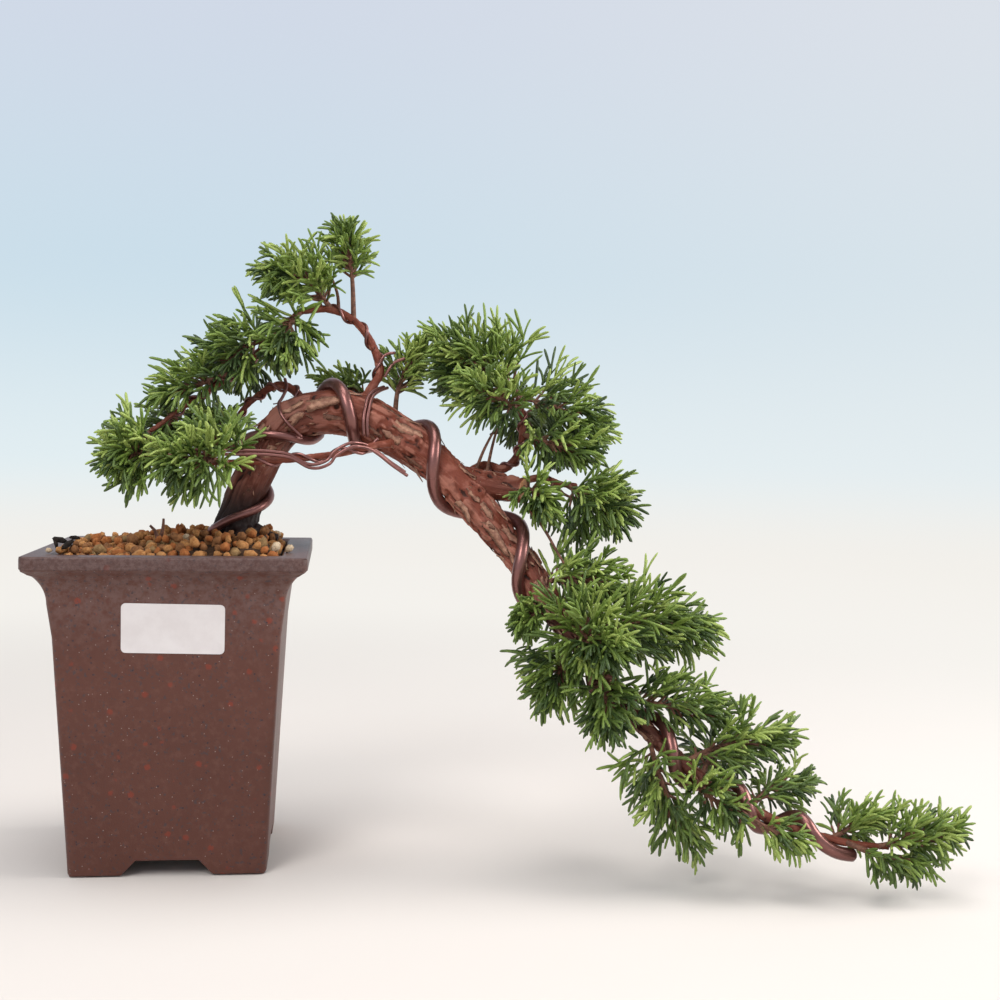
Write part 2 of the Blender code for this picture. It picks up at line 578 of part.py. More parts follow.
class Crown:
    """The masses of foliage while they grow, each in its own space."""

    def __init__(self, stems, limbs):
        self.stems = stems
        self.limbs = limbs
        self.sticks = {}
        for name, (stem, _) in stems.items():
            starts, ends, radii = segments(stem)
            self.sticks[name] = list(zip(starts, ends, radii))
        self.meshes = {name: [] for name in stems}

    def fits(self, start, end, half_width, mass):
        """True where a stick keeps to its mass's space and clear of all else."""
        points = start + (end - start) * np.linspace(0.12, 1.0, 9)[:, None]
        if gap_each(points, self.limbs).min() < half_width + CLEAR:
            return False
        own_stem, own_reach = self.stems[mass]
        own = share_of_reach(points, own_stem, own_reach)
        for name, (stem, reach) in self.stems.items():
            if name == mass:
                continue
            if (own > SPACE_SHARE * share_of_reach(points, stem, reach)).any():
                return False
            starts, ends, radii = (np.array(part) for part in zip(*self.sticks[name]))
            if gap_each(points, (starts, ends, radii)).min() < half_width + 2 * CLEAR:
                return False
        return True

    def grow_spray(self, name, number, count, bare, chance):
        """Adds one spray to a mass, without the teeth that would touch something."""
        stem, reach = self.stems[name]
        share = bare + (1 - bare) * (number + 1) / count
        row, heading = row_at(stem, share * lengths(stem)[-1] * 0.999)
        heading = Vector(heading)
        side = heading.orthogonal().normalized()
        side.rotate(Matrix.Rotation(GOLDEN_TURN * number + chance.uniform(-0.3, 0.3), 3, heading))
        lean = SPRAY_OPEN[0] + (SPRAY_OPEN[1] - SPRAY_OPEN[0]) * share**2
        out = (heading * math.cos(lean) + side * math.sin(lean)).normalized()
        length = reach * (1 - TIP_SHORTER * share) * chance.uniform(0.94, 1.06)
        flat = out.cross(Vector((0, 0, 1)))
        flat = (flat if flat.length > 0.2 else out.orthogonal()).normalized()
        tilt = chance.uniform(*SPRAY_TILT) * chance.choice((1, -1))
        flat.rotate(Matrix.Rotation(tilt, 3, out))
        foot = row[:3]
        for shrink in (1.0, 0.85, 0.7, 0.55):
            tip = foot + np.array(out) * length * shrink
            if self.fits(foot, tip, TWIG_HALF_WIDTH, name):
                break
        else:
            return
        length *= shrink
        self.sticks[name].append((foot, tip, TWIG_HALF_WIDTH))
        teeth = []
        for place_number, (where, tooth_share) in enumerate(TEETH):
            turn = 1 if (place_number + number) % 2 else -1
            way = out * math.cos(TOOTH_OPEN) + flat * turn * math.sin(TOOTH_OPEN)
            root = foot + (tip - foot) * where
            end = root + np.array(way) * length * tooth_share
            if self.fits(root, end, TOOTH_HALF_WIDTH, name):
                teeth.append((turn, where, length * tooth_share))
                self.sticks[name].append((root, end, TOOTH_HALF_WIDTH))
        self.meshes[name].append(toothed_blade(foot, out, flat, length, teeth))


def clear_stem(name, controls, limbs, carriers):
    """A mass's stem, its foot slid along the limb until the stem misses the wires."""
    foot = place(*controls[0])
    nearest = min(carriers, key=lambda line: gap_each(foot, segments(line))[0])
    away = np.linalg.norm(nearest[:, :3] - foot, axis=1).argmin()
    _, heading = row_at(nearest, lengths(nearest)[away])
    for slide in SLIDES:
        moved = [(*(np.array(c) + heading * slide * ease), STEM_RADIUS / MM)
                 for c, ease in zip(controls, (1.0, 0.4, 0.0, 0.0))]
        line = start_clear(smooth_line(moved, 8 * MM), limbs)
        line[:, 3] = np.linspace(STEM_RADIUS, STEM_TIP_RADIUS, len(line))
        run = np.linspace(3 * MM, lengths(line)[-1], 30)
        points = np.array([row_at(line, distance)[0][:3] for distance in run])
        if gap_each(points, limbs).min() > STEM_RADIUS + CLEAR / 2:
            return line
    print(name, "finds no clear way")
    return line


def build_foliage(parts, limbs, carriers, green):
    """Every mass of foliage, each fused into one solid round its own stem."""
    stems = {}
    for name, (controls, reach, _, _) in MASSES.items():
        stems[name] = (clear_stem(name, controls, limbs, carriers), reach * MM)
    crown = Crown(stems, limbs)
    chances = {name: random.Random(f"{SEED} {name}") for name in MASSES}
    for number in range(max(mass[2] for mass in MASSES.values())):
        for name, (_, _, count, bare) in MASSES.items():
            if number < count:
                crown.grow_spray(name, count - 1 - number, count, bare, chances[name])
    for name, (line, _) in stems.items():
        item = as_mesh(tube(name, line, parts, green, 0))
        fuse(item, crown.meshes[name])
        item.data.materials.clear()
        item.data.materials.append(green)


def main():
    for item in list(bpy.data.objects):
        bpy.data.objects.remove(item)
    parts = bpy.data.collections.new("juniper bonsai")
    cutters = bpy.data.collections.new("cutters")
    bpy.context.scene.collection.children.link(parts)
    bpy.context.scene.collection.children.link(cutters)
    bark = principled("bark", (0.20, 0.085, 0.05), 0.85)
    wire = principled("copper-brown wire", (0.16, 0.06, 0.045), 0.35, 0.8)
    green = principled("scale leaves", (0.10, 0.22, 0.05), 0.6)

    build_pot(parts, cutters)
    build_soil(parts)

    main_line = smooth_line(MAIN_LINE, 6 * MM)
    limbs = {}
    rest, passed = main_line, 0.0
    for name, end in MAIN_CUTS:
        limbs[name], rest = cut_line(rest, end - passed)
        passed = end + CLEAR / 2
    limbs[MAIN_TIP] = rest
    boughs = {"trunk_stub": STUB_LINE, "crown_bough_rise": CROWN_RISE_LINE, "low_bough": LOW_LINE,
              "arch_bough": ARCH_LINE, "shoulder_bough": SHOULDER_LINE}
    for name, controls in boughs.items():
        limbs[name] = start_clear(smooth_line(controls, 7 * MM), segments(main_line))
    right = smooth_line(RIGHT_LINE, 7 * MM)
    limbs["right_bough"] = start_clear(right, segments(main_line, limbs["trunk_stub"]))
    fall = smooth_line(CROWN_FALL_LINE, 7 * MM)
    limbs["crown_bough_fall"] = start_clear(fall, segments(limbs["crown_bough_rise"]))
    build_trunk_foot(parts, cutters, limbs["trunk_lower"], bark)
    for name, line in limbs.items():
        if name != "trunk_lower":
            thick = line[:, 3].max() > 4 * MM
            tube(name, line, parts, bark, 2 if thick else 1)

    wires = {"base_wire": wound_line(main_line, BASE_WIRE_TURNS, BASE_WIRE_RADIUS),
             "trunk_wire": wound_line(main_line, TRUNK_WIRE_TURNS, TRUNK_WIRE_RADIUS)}
    for name, line in wires.items():
        tube(name, line, parts, wire)

    solids = segments(*limbs.values(), *wires.values())
    build_foliage(parts, solids, list(limbs.values()), green)


main()
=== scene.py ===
# %% [markdown]
# # A wired juniper, half cascade, in a tall clay pot
# The solids of the tree are loaded first. Each visible piece is then made round them, and takes
# the place of the plain solid that it stands for. Lengths are in metres, with Z up, but limbs and
# foliage are laid out in millimetres from the middle of the pot, because a tree is measured so.

import json
import math
import random

import bmesh
import bpy
import numpy as np
from mathutils import Matrix, Vector, noise

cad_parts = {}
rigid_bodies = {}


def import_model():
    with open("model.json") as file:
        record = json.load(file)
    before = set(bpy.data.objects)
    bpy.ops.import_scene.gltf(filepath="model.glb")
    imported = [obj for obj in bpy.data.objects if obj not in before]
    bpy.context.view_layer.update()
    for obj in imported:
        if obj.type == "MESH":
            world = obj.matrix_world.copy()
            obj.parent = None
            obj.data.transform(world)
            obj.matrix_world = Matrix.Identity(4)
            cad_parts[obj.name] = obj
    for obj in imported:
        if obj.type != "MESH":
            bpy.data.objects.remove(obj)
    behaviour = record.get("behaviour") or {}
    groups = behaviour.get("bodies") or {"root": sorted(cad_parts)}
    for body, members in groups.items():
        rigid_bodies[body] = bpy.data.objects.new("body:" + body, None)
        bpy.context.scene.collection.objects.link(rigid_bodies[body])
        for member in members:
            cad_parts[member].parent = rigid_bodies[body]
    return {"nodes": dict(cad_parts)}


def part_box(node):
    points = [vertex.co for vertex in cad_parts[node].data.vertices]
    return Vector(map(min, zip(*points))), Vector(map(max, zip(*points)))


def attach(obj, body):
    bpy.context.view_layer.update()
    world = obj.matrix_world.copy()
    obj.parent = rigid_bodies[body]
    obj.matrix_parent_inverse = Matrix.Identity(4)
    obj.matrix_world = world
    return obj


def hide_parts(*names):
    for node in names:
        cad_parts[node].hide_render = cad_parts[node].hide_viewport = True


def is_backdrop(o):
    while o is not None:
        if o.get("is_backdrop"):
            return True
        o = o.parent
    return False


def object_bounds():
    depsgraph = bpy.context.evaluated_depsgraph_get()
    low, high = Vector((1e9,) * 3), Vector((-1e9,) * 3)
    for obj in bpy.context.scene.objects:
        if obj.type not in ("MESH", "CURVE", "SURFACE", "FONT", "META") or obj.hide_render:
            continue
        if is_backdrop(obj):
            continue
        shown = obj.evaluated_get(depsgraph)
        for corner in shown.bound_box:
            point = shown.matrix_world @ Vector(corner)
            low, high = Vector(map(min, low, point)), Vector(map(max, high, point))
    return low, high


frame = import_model()
CAD_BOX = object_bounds()
MM = 0.001
POT_LOW, POT_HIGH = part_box("pot")
POT_MIDDLE = Vector(((POT_LOW.x + POT_HIGH.x) / 2, (POT_LOW.y + POT_HIGH.y) / 2, 0.0))
print(len(frame["nodes"]), "solids, pot", [round(v / MM, 1) for v in POT_HIGH - POT_LOW], "mm")


def place(x, y, z):
    """Turns millimetres from the pot's middle into a point of the scene."""
    return np.array((x * MM + POT_MIDDLE.x, y * MM + POT_MIDDLE.y, z * MM))


# %% [markdown]
# ## The camera
# A bonsai is best looked at from the height of the trunk's arch, with a lens a little longer than
# normal, so that the pot's sides stay straight. The camera leans down by a few degrees and is
# turned a little, so its three directions are worked out from those angles.

# %% Place the camera
CAMERA_PLACE = (66.6, -628.5, 181.3)   # millimetres from the pot's middle, on the shelf
LOOK_DOWN = 0.0477        # radians, as the next two are
CAMERA_ROLL = 0.0158
CAMERA_TURN = 0.1117
LENS = 52.34


def camera_axes():
    """The camera's right, up and backward directions as the columns of a matrix."""
    down = Matrix.Rotation(-LOOK_DOWN, 3, "X")
    right, ahead, up = (down @ Vector(axis) for axis in ((1, 0, 0), (0, 1, 0), (0, 0, 1)))
    rolled = math.cos(CAMERA_ROLL) * right + math.sin(CAMERA_ROLL) * up
    upward = -math.sin(CAMERA_ROLL) * right + math.cos(CAMERA_ROLL) * up
    turn = Matrix.Rotation(-CAMERA_TURN, 3, "Z")
    return Matrix([turn @ rolled, turn @ upward, turn @ -ahead]).transposed()


lens = bpy.data.cameras.new("camera")
lens.lens = LENS
lens.sensor_width = 36.0
lens.clip_start = 0.01
lens.clip_end = 50.0
camera = bpy.data.objects.new("camera", lens)
bpy.context.scene.collection.objects.link(camera)
camera.matrix_world = Matrix.Translation(Vector(place(*CAMERA_PLACE))) @ camera_axes().to_4x4()
bpy.context.scene.camera = camera
print("camera at", [round(v, 3) for v in camera.location])

# %% [markdown]
# ## Sums on sockets
# A shader or a Geometry Nodes tree is easier to read as a sum than as a list of links. A Plug
# wraps one socket, so that `1 - mask` or `0.5 * grain` adds the Math node by itself. A Board wires
# up one tree: a single method adds any node, sets its settings first, and then fills its sockets.


# %% Wrap the node trees
class Plug:
    """A number or colour socket that can be used in sums."""

    def __init__(self, board, socket):
        self.board = board
        self.socket = socket

    def sum(self, operation, first, second):
        return self.board.node("ShaderNodeMath", {"operation": operation}, {0: first, 1: second})

    def __add__(self, other):
        return self.sum("ADD", self, other)

    def __mul__(self, other):
        return self.sum("MULTIPLY", self, other)

    def __sub__(self, other):
        return self.sum("SUBTRACT", self, other)

    def __rsub__(self, other):
        return self.sum("SUBTRACT", other, self)

    __radd__ = __add__
    __rmul__ = __mul__


class Board:
    """A node tree that is being wired up."""

    def __init__(self, tree):
        self.tree = tree

    def node(self, kind, settings=None, inputs=None, output=0):
        """Adds a node, and gives back one of its outputs."""
        made = self.tree.nodes.new(kind)
        for name, value in (settings or {}).items():
            setattr(made, name, value)
        for key, value in (inputs or {}).items():
            self.feed(made.inputs[key], value)
        return Plug(self, made.outputs[output])

    def feed(self, socket, value):
        """Links a plug to a socket, or sets the socket's own value."""
        if isinstance(value, Plug):
            self.tree.links.new(value.socket, socket)
        else:
            socket.default_value = value


# %% [markdown]
# ## A finish and its tools
# Every surface here is one Principled shader whose colour, roughness and bump come from noise in
# object space, counted in millimetres. A number that is the same all over is set on the shader's
# own socket. Only what changes over the surface is linked.


# %% Define a finish
class Finish(Board):
    """A material with Object coordinates in millimetres and one Principled shader."""

    def __init__(self, name, **sockets):
        self.material = bpy.data.materials.new(name)
        self.material.use_nodes = True
        super().__init__(self.material.node_tree)
        self.shader = self.tree.nodes["Principled BSDF"]
        for socket, value in sockets.items():
            self.shader.inputs[socket.replace("_", " ")].default_value = value
        self.where = self.stretched(self.node("ShaderNodeTexCoord", output="Object"), (1 / MM,) * 3)

    def stretched(self, vector, factors):
        return self.node("ShaderNodeVectorMath", {"operation": "MULTIPLY"}, {0: vector, 1: factors})

    def attribute(self, name, output="Fac"):
        return self.node("ShaderNodeAttribute", {"attribute_name": name}, output=output)

    def noise(self, size, where=None, detail=2.0, roughness=0.55):
        """Soft noise whose lumps are about a size in millimetres."""
        return self.node("ShaderNodeTexNoise", None, {
            "Vector": where or self.where, "Scale": 1 / size, "Detail": detail,
            "Roughness": roughness})

    def cells(self, size):
        """Distance to the nearest of some scattered dots, 0 in the middle of each."""
        return self.node("ShaderNodeTexVoronoi", None, {
            "Vector": self.where, "Scale": 1 / size, "Randomness": 1.0})

    def coordinate(self, axis):
        """One coordinate of the place, in millimetres."""
        return self.node("ShaderNodeSeparateXYZ", None, {0: self.where}, output=axis)

    def between(self, value, low, high):
        """A mask that eases from 0 at one value to 1 at another."""
        settings = {"interpolation_type": "SMOOTHSTEP", "clamp": True}
        return self.node("ShaderNodeMapRange", settings, {
            "Value": value, "From Min": low, "From Max": high})

    def mix(self, mask, first, second):
        """One colour where a mask is 0, and another where it is 1."""
        return self.node("ShaderNodeMix", {"data_type": "RGBA"}, {
            0: mask, 6: opaque(first), 7: opaque(second)}, output=2)

    def layered(self, colour, *layers):
        """A colour with others laid over it, each as far as its mask goes."""
        for mask, over in layers:
            colour = self.mix(mask, colour, over)
        return colour

    def bump(self, height, depth):
        """A bump whose height runs from 0 to 1 over a depth in millimetres."""
        self.feed(self.shader.inputs["Normal"], self.node("ShaderNodeBump", None, {
            "Strength": 1.0, "Distance": depth * MM, "Height": height}))

    def set(self, **sockets):
        for socket, value in sockets.items():
            self.feed(self.shader.inputs[socket.replace("_", " ")], value)
        return self.material


def opaque(colour):
    """A colour with its alpha, or a plug as it is."""
    return colour if isinstance(colour, Plug) else (*colour, 1.0)


# %% [markdown]
# ## Clay of the pot
# The pot is fired brown clay with no glaze: satin, with soft iron-red blotches, slate-grey specks
# and tiny pale ones. Thresholds on noise of different sizes give each kind of spot. The rim and
# the edges are worn to a greyish mauve, which follows from height alone.

# %% Mix the clay
RIM_BAND = 0.0053
POT_HEIGHT = POT_HIGH.z


def clay_finish():
    clay = Finish("speckled clay", Specular_IOR_Level=0.22)
    height = clay.coordinate("Z")
    drift = clay.noise(34, detail=3)
    mottle = clay.noise(3.2, detail=4, roughness=0.65)
    ragged = clay.noise(1.3, detail=4, roughness=0.7)
    grit = clay.noise(0.55, detail=3)
    haze = clay.between(height, 84, 122) * clay.between(mottle, 0.30, 0.62)
    iron = clay.between(clay.cells(8.5) + ragged * 0.22, 0.30, 0.20)
    slate = clay.between(clay.noise(1.5, detail=3), 0.60, 0.66)
    coal = clay.between(clay.cells(3.4) + ragged * 0.15, 0.22, 0.16)
    pale = clay.between(clay.cells(2.6), 0.10, 0.06)
    rim_start = (POT_HEIGHT - RIM_BAND) / MM
    rim = clay.between(height, rim_start - 0.4, rim_start + 0.6)
    lip = clay.mix(clay.between(ragged, 0.40, 0.62), (0.060, 0.031, 0.027), (0.116, 0.074, 0.068))
    body = clay.layered(
        clay.mix(drift, (0.082, 0.031, 0.023), (0.124, 0.048, 0.035)),
        (clay.between(mottle, 0.45, 0.75) * 0.35, (0.165, 0.074, 0.058)),
        (haze * 0.65, (0.150, 0.094, 0.085)), (iron * 0.6, (0.235, 0.040, 0.022)),
        (slate * 0.65, (0.052, 0.045, 0.052)), (coal * 0.7, (0.030, 0.028, 0.036)),
        (pale * 0.6, (0.36, 0.29, 0.26)), (rim * 0.65, lip))
    clay.bump(grit * 0.4 + mottle * 0.6 + pale * 0.25 - coal * 0.3, 0.16)
    return clay.set(Base_Color=body, Roughness=0.31 + drift * 0.12 + mottle * 0.08)


CLAY = clay_finish()
print("clay has", len(CLAY.node_tree.nodes), "nodes")

# %% [markdown]
# ## The pot
# A square pot like this is pressed from slabs: straight leaning walls, a hollow neck under a wide
# square rim, and four corner feet. One profile turned in four steps gives the four walls with
# their corners in line, a bevel rounds the corners, and two long cutters leave the feet.
# The profile is finer than the plain solid's, so that the neck's hollow curve is smooth.

# %% Make the pot
RIM_WIDTH = 0.1108
NECK_WIDTH = 0.0932
NECK_DROP = 0.0195
NECK_START = math.radians(27)   # slope of the neck where it leaves the rim
BASE_WIDTH = 0.0790
MOUTH_WIDTH = 0.0890
WELL_WIDTH = 0.0696
FLOOR_TOP = 0.0115
FOOT_HEIGHT = 0.0064
FOOT_RING = 0.0135
NOTCH_WIDTH = 0.037
NOTCH_TOP_WIDTH = 0.025
NOTCH_BELOW = 0.15        # how far the notch's cutter goes on below, as a share of its height
DRAIN_RADIUS = 0.007
CORNER_ROUND = 0.003
EDGE_ROUND = 0.001
WEAR_ROUND = 0.0005
NECK_STEPS = 14
BELLY_HEIGHT = 0.097
BELLY_PULL = 0.0018       # how much narrower the wall is there than the neck


def add_object(name, data, material=None):
    """Links new data as an object of the scene."""
    item = bpy.data.objects.new(name, data)
    bpy.context.scene.collection.objects.link(item)
    if material is not None:
        data.materials.append(material)
    return item


def finished(item):
    """Turns an object, its modifiers and its place into a plain mesh at the origin."""
    bpy.context.view_layer.update()
    evaluated = item.evaluated_get(bpy.context.evaluated_depsgraph_get())
    mesh = bpy.data.meshes.new_from_object(evaluated)
    mesh.transform(item.matrix_world)
    name = item.name
    bpy.data.objects.remove(item)
    return add_object(name, mesh)


def put_on(item, slot, *nodes):
    """Hangs a finished piece on the root body and hides the solids that it stands for.
    The slot is not used.
    """
    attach(item, "root")
    if nodes:
        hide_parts(*nodes)
    print(item.name, sum(len(f.vertices) - 2 for f in item.data.polygons), "triangles")


def smooth_all(mesh):
    """Smooth shading everywhere, for shapes without sharp edges."""
    mesh.polygons.foreach_set("use_smooth", [True] * len(mesh.polygons))
    mesh.update()


def shade_smooth(mesh, angle):
    """Smooth shading that breaks at edges sharper than an angle in degrees."""
    shape = bmesh.new()
    shape.from_mesh(mesh)
    for face in shape.faces:
        face.smooth = True
    for edge in shape.edges:
        edge.smooth = edge.calc_face_angle(0.0) < math.radians(angle)
    shape.to_mesh(mesh)
    shape.free()


# %% [markdown]
# ## Cutting and rounding
# Fired clay has no sharp edges, and its feet are what is left when two channels are cut across the
# base. A Bevel modifier rounds what is sharper than an angle. A Boolean with a simple solid cuts
# each channel and the drain hole. Both could be modelled by hand, but modifiers keep the sizes in
# one place.

# %% Cut and round the pot
def rounded(item, name, width, segments, angle):
    """Rounds the edges of a piece that are sharper than an angle in degrees."""
    bevel = item.modifiers.new(name, "BEVEL")
    bevel.width = width
    bevel.segments = segments
    bevel.limit_method = "ANGLE"
    bevel.angle_limit = math.radians(angle)


def cutter(name, shape, target):
    """Cuts a bmesh, moved to the pot's middle, out of a piece."""
    bmesh.ops.translate(shape, verts=shape.verts, vec=POT_MIDDLE)
    mesh = bpy.data.meshes.new(name)
    shape.to_mesh(mesh)
    shape.free()
    tool = add_object(name, mesh)
    cut = target.modifiers.new(name, "BOOLEAN")
    cut.operation = "DIFFERENCE"
    cut.object = tool
    cut.solver = "EXACT"
    return tool


def notch_shape(turn):
    """The gap between two feet, right across the pot, narrower at its top."""
    shape = bmesh.new()
    bmesh.ops.create_cube(shape, size=1.0)
    for vert in shape.verts:
        below = NOTCH_BELOW if vert.co.z < 0 else -1.0
        widening = NOTCH_WIDTH - NOTCH_TOP_WIDTH
        width = NOTCH_WIDTH + widening * below if below > 0 else NOTCH_TOP_WIDTH
        vert.co = Vector((vert.co.x * width, vert.co.y * RIM_WIDTH, -below * FOOT_HEIGHT))
    bmesh.ops.rotate(shape, verts=shape.verts, matrix=Matrix.Rotation(turn, 3, "Z"))
    return shape


def drain_shape():
    """The drain hole, as a plug right through the pot's floor."""
    shape = bmesh.new()
    bmesh.ops.create_cone(shape, cap_ends=True, segments=32, radius1=DRAIN_RADIUS,
                          radius2=DRAIN_RADIUS, depth=4 * FLOOR_TOP)
    return shape


def pot_profile():
    """Half-widths and heights down the pot's section, from the inner floor to the foot."""
    half_rim, half_neck, half_base = RIM_WIDTH / 2, NECK_WIDTH / 2, BASE_WIDTH / 2
    rows = [(0.0, FLOOR_TOP), (WELL_WIDTH / 2 - 3 * EDGE_ROUND, FLOOR_TOP),
            (WELL_WIDTH / 2, FLOOR_TOP + 3 * EDGE_ROUND),
            (MOUTH_WIDTH / 2, POT_HEIGHT - EDGE_ROUND), (MOUTH_WIDTH / 2 + EDGE_ROUND, POT_HEIGHT)]
    for k in range(4):
        turn = math.pi / 2 * k / 3
        rows.append((half_rim - EDGE_ROUND * (1 - math.sin(turn)),
                     POT_HEIGHT - EDGE_ROUND * (1 - math.cos(turn))))
    rows += [(half_rim, POT_HEIGHT - RIM_BAND + EDGE_ROUND / 3),
             (half_rim - EDGE_ROUND / 3, POT_HEIGHT - RIM_BAND)]
    for k in range(1, NECK_STEPS + 1):
        turn = NECK_START + (math.pi / 2 - NECK_START) * k / NECK_STEPS
        inward = (1 - math.sin(turn)) / (1 - math.sin(NECK_START))
        fall = 1 - math.cos(turn) / math.cos(NECK_START)
        rows.append((half_neck + (half_rim - half_neck) * inward,
                     POT_HEIGHT - RIM_BAND - (NECK_DROP - RIM_BAND) * fall))
    rows += [(half_neck - BELLY_PULL, BELLY_HEIGHT), (half_base, EDGE_ROUND),
             (half_base - EDGE_ROUND * 0.3, EDGE_ROUND * 0.3), (half_base - EDGE_ROUND, 0.0),
             (half_base - FOOT_RING, 0.0), (half_base - FOOT_RING, FOOT_HEIGHT), (0.0, FOOT_HEIGHT)]
    return rows


def make_pot():
    rows = pot_profile()
    mesh = bpy.data.meshes.new("clay_pot")
    corners = [(width * math.sqrt(2), 0.0, height) for width, height in rows]
    mesh.from_pydata(corners, [(k, k + 1) for k in range(len(corners) - 1)], [])
    pot = add_object("clay_pot", mesh)
    pot.location = POT_MIDDLE
    pot.rotation_euler = (0.0, 0.0, math.pi / 4)
    screw = pot.modifiers.new("Four walls", "SCREW")
    screw.steps = 4
    screw.render_steps = 4
    screw.use_merge_vertices = True
    screw.merge_threshold = 0.1 * MM
    screw.use_smooth_shade = False
    rounded(pot, "Round corners", CORNER_ROUND, 6, 60)
    tools = [cutter("notch", notch_shape(turn), pot) for turn in (0.0, math.pi / 2)]
    tools.append(cutter("drain", drain_shape(), pot))
    rounded(pot, "Worn edges", WEAR_ROUND, 2, 50)
    pot = finished(pot)
    for tool in tools:
        bpy.data.objects.remove(tool)
    pot.data.materials.clear()
    pot.data.materials.append(CLAY)
    shade_smooth(pot.data, 35)
    return pot


pot = make_pot()
put_on(pot, "pot", "pot")

# %% [markdown]
# ## Limbs as lines
# A limb is best described by a smooth line with a radius at each bend. The trunk and its cascade
# are one such line, and each bough is another, whose first bend lies inside the wood that carries
# it, so that they grow together. A Catmull-Rom curve passes through every bend that is given.

# %% Lines of the trunk and the boughs
MAIN_LINE = (
    (24, 0, 135.3, 10.6), (24, 0, 140, 8.8), (26.6, 0, 148, 8.0), (31, 0, 159.5, 8.0),
    (37.5, 0, 173, 8.4), (46, 0, 183, 9.0), (59, 0, 188, 9.4), (74, 0, 187, 9.7),
    (89, 0, 179.5, 9.4), (104, -2, 170, 8.7), (116, -5, 159.5, 8.1), (126, -8, 149, 7.5),
    (136, -12, 137, 6.8), (146, -18, 124, 6.0), (155.5, -26, 109, 5.4), (170, -36, 90, 4.5),
    (187, -46, 68, 3.6), (203, -55, 51, 3.0), (221, -63, 38, 2.6), (243, -72, 27, 2.1),
    (266, -79, 21, 1.7), (284, -84, 20, 1.2),
)
BOUGH_LINES = {
    "stub": (
        (118, -4.5, 162, 4.6), (124, -5, 160, 5.2), (134, -6.5, 157, 5.7), (149, -8, 155, 5.4),
    ),
    "crown_rise": (
        (77, 4, 191, 2.8), (81, 5, 199, 2.2), (84.5, 6, 206, 2.0), (81, 8, 218, 1.9),
        (73.5, 8, 227.5, 1.8), (63, 8, 232.5, 1.8), (50, 8, 231.5, 1.7),
    ),
    "crown_fall": (
        (50, 8, 231.5, 1.7), (38, 6, 219, 1.6), (23, 4, 204.5, 1.4), (4, 0, 191, 1.3),
        (-12, -4, 178.5, 1.1),
    ),
    "low": (
        (89, -4, 176, 2.2), (88, -11, 175, 1.9), (84, -17, 174.5, 1.7), (76, -20, 172.8, 1.6),
        (66, -21.5, 170.5, 1.6), (51, -24, 168.5, 1.6), (31, -28, 167, 1.5), (11, -32, 166.8, 1.4),
        (-8, -34, 170.5, 1.2),
    ),
    "arch": (
        (53, 5, 189, 2.6), (49, 9, 196, 2.1), (42, 10, 199.5, 1.9), (33.5, 12, 196, 1.6),
        (25.5, 12, 188.5, 1.3), (21, 12, 181, 1.1),
    ),
    "shoulder": (
        (122, 4, 161, 2.8), (131, 7, 166, 2.2), (139.5, 7, 164.5, 2.0), (146, 7, 172, 1.9),
        (147.5, 8, 185, 1.7), (145, 8, 197, 1.4),
    ),
    "right": (
        (136, 0, 157, 2.6), (143, 5, 158, 1.9), (155, 3, 161, 1.7), (163, -3, 158.5, 1.5),
        (170, -6, 158, 1.2),
    ),
}


def smooth_line(controls, spacing):
    """Rows of x, y, z, radius along a Catmull-Rom curve through the controls."""
    rows = np.array([(*place(*c[:3]), c[3] * MM) for c in controls])
    before = 2 * rows[0] - rows[1]
    after = 2 * rows[-1] - rows[-2]
    rows = np.vstack((before, rows, after))
    line = []
    for a, b, c, d in zip(rows, rows[1:], rows[2:], rows[3:]):
        steps = max(1, round(np.linalg.norm(c[:3] - b[:3]) / spacing))
        for step in range(steps):
            t = step / steps
            line.append(0.5 * (2 * b + (c - a) * t + (2 * a - 5 * b + 4 * c - d) * t**2
                               + (3 * b - a - 3 * c + d) * t**3))
    line.append(rows[-2])
    return np.array(line)


def lengths(line):
    """Distance from the line's start to each of its points."""
    steps = np.linalg.norm(np.diff(line[:, :3], axis=0), axis=1)
    return np.concatenate(((0.0,), np.cumsum(steps)))


def row_at(line, distance):
    """The line's row at a distance from its start, and the direction there."""
    run = lengths(line)
    row = np.array([np.interp(distance, run, line[:, k]) for k in range(line.shape[1])])
    ahead = np.array([np.interp(distance + MM / 2, run, line[:, k]) for k in range(3)])
    behind = np.array([np.interp(distance - MM / 2, run, line[:, k]) for k in range(3)])
    heading = ahead - behind
    return row, heading / np.linalg.norm(heading)


LIMB_SPACING = 2.5 * MM
main_line = smooth_line(MAIN_LINE, LIMB_SPACING)
boughs = {name: smooth_line(line, LIMB_SPACING) for name, line in BOUGH_LINES.items()}
print("trunk and cascade", round(lengths(main_line)[-1] / MM), "mm long")
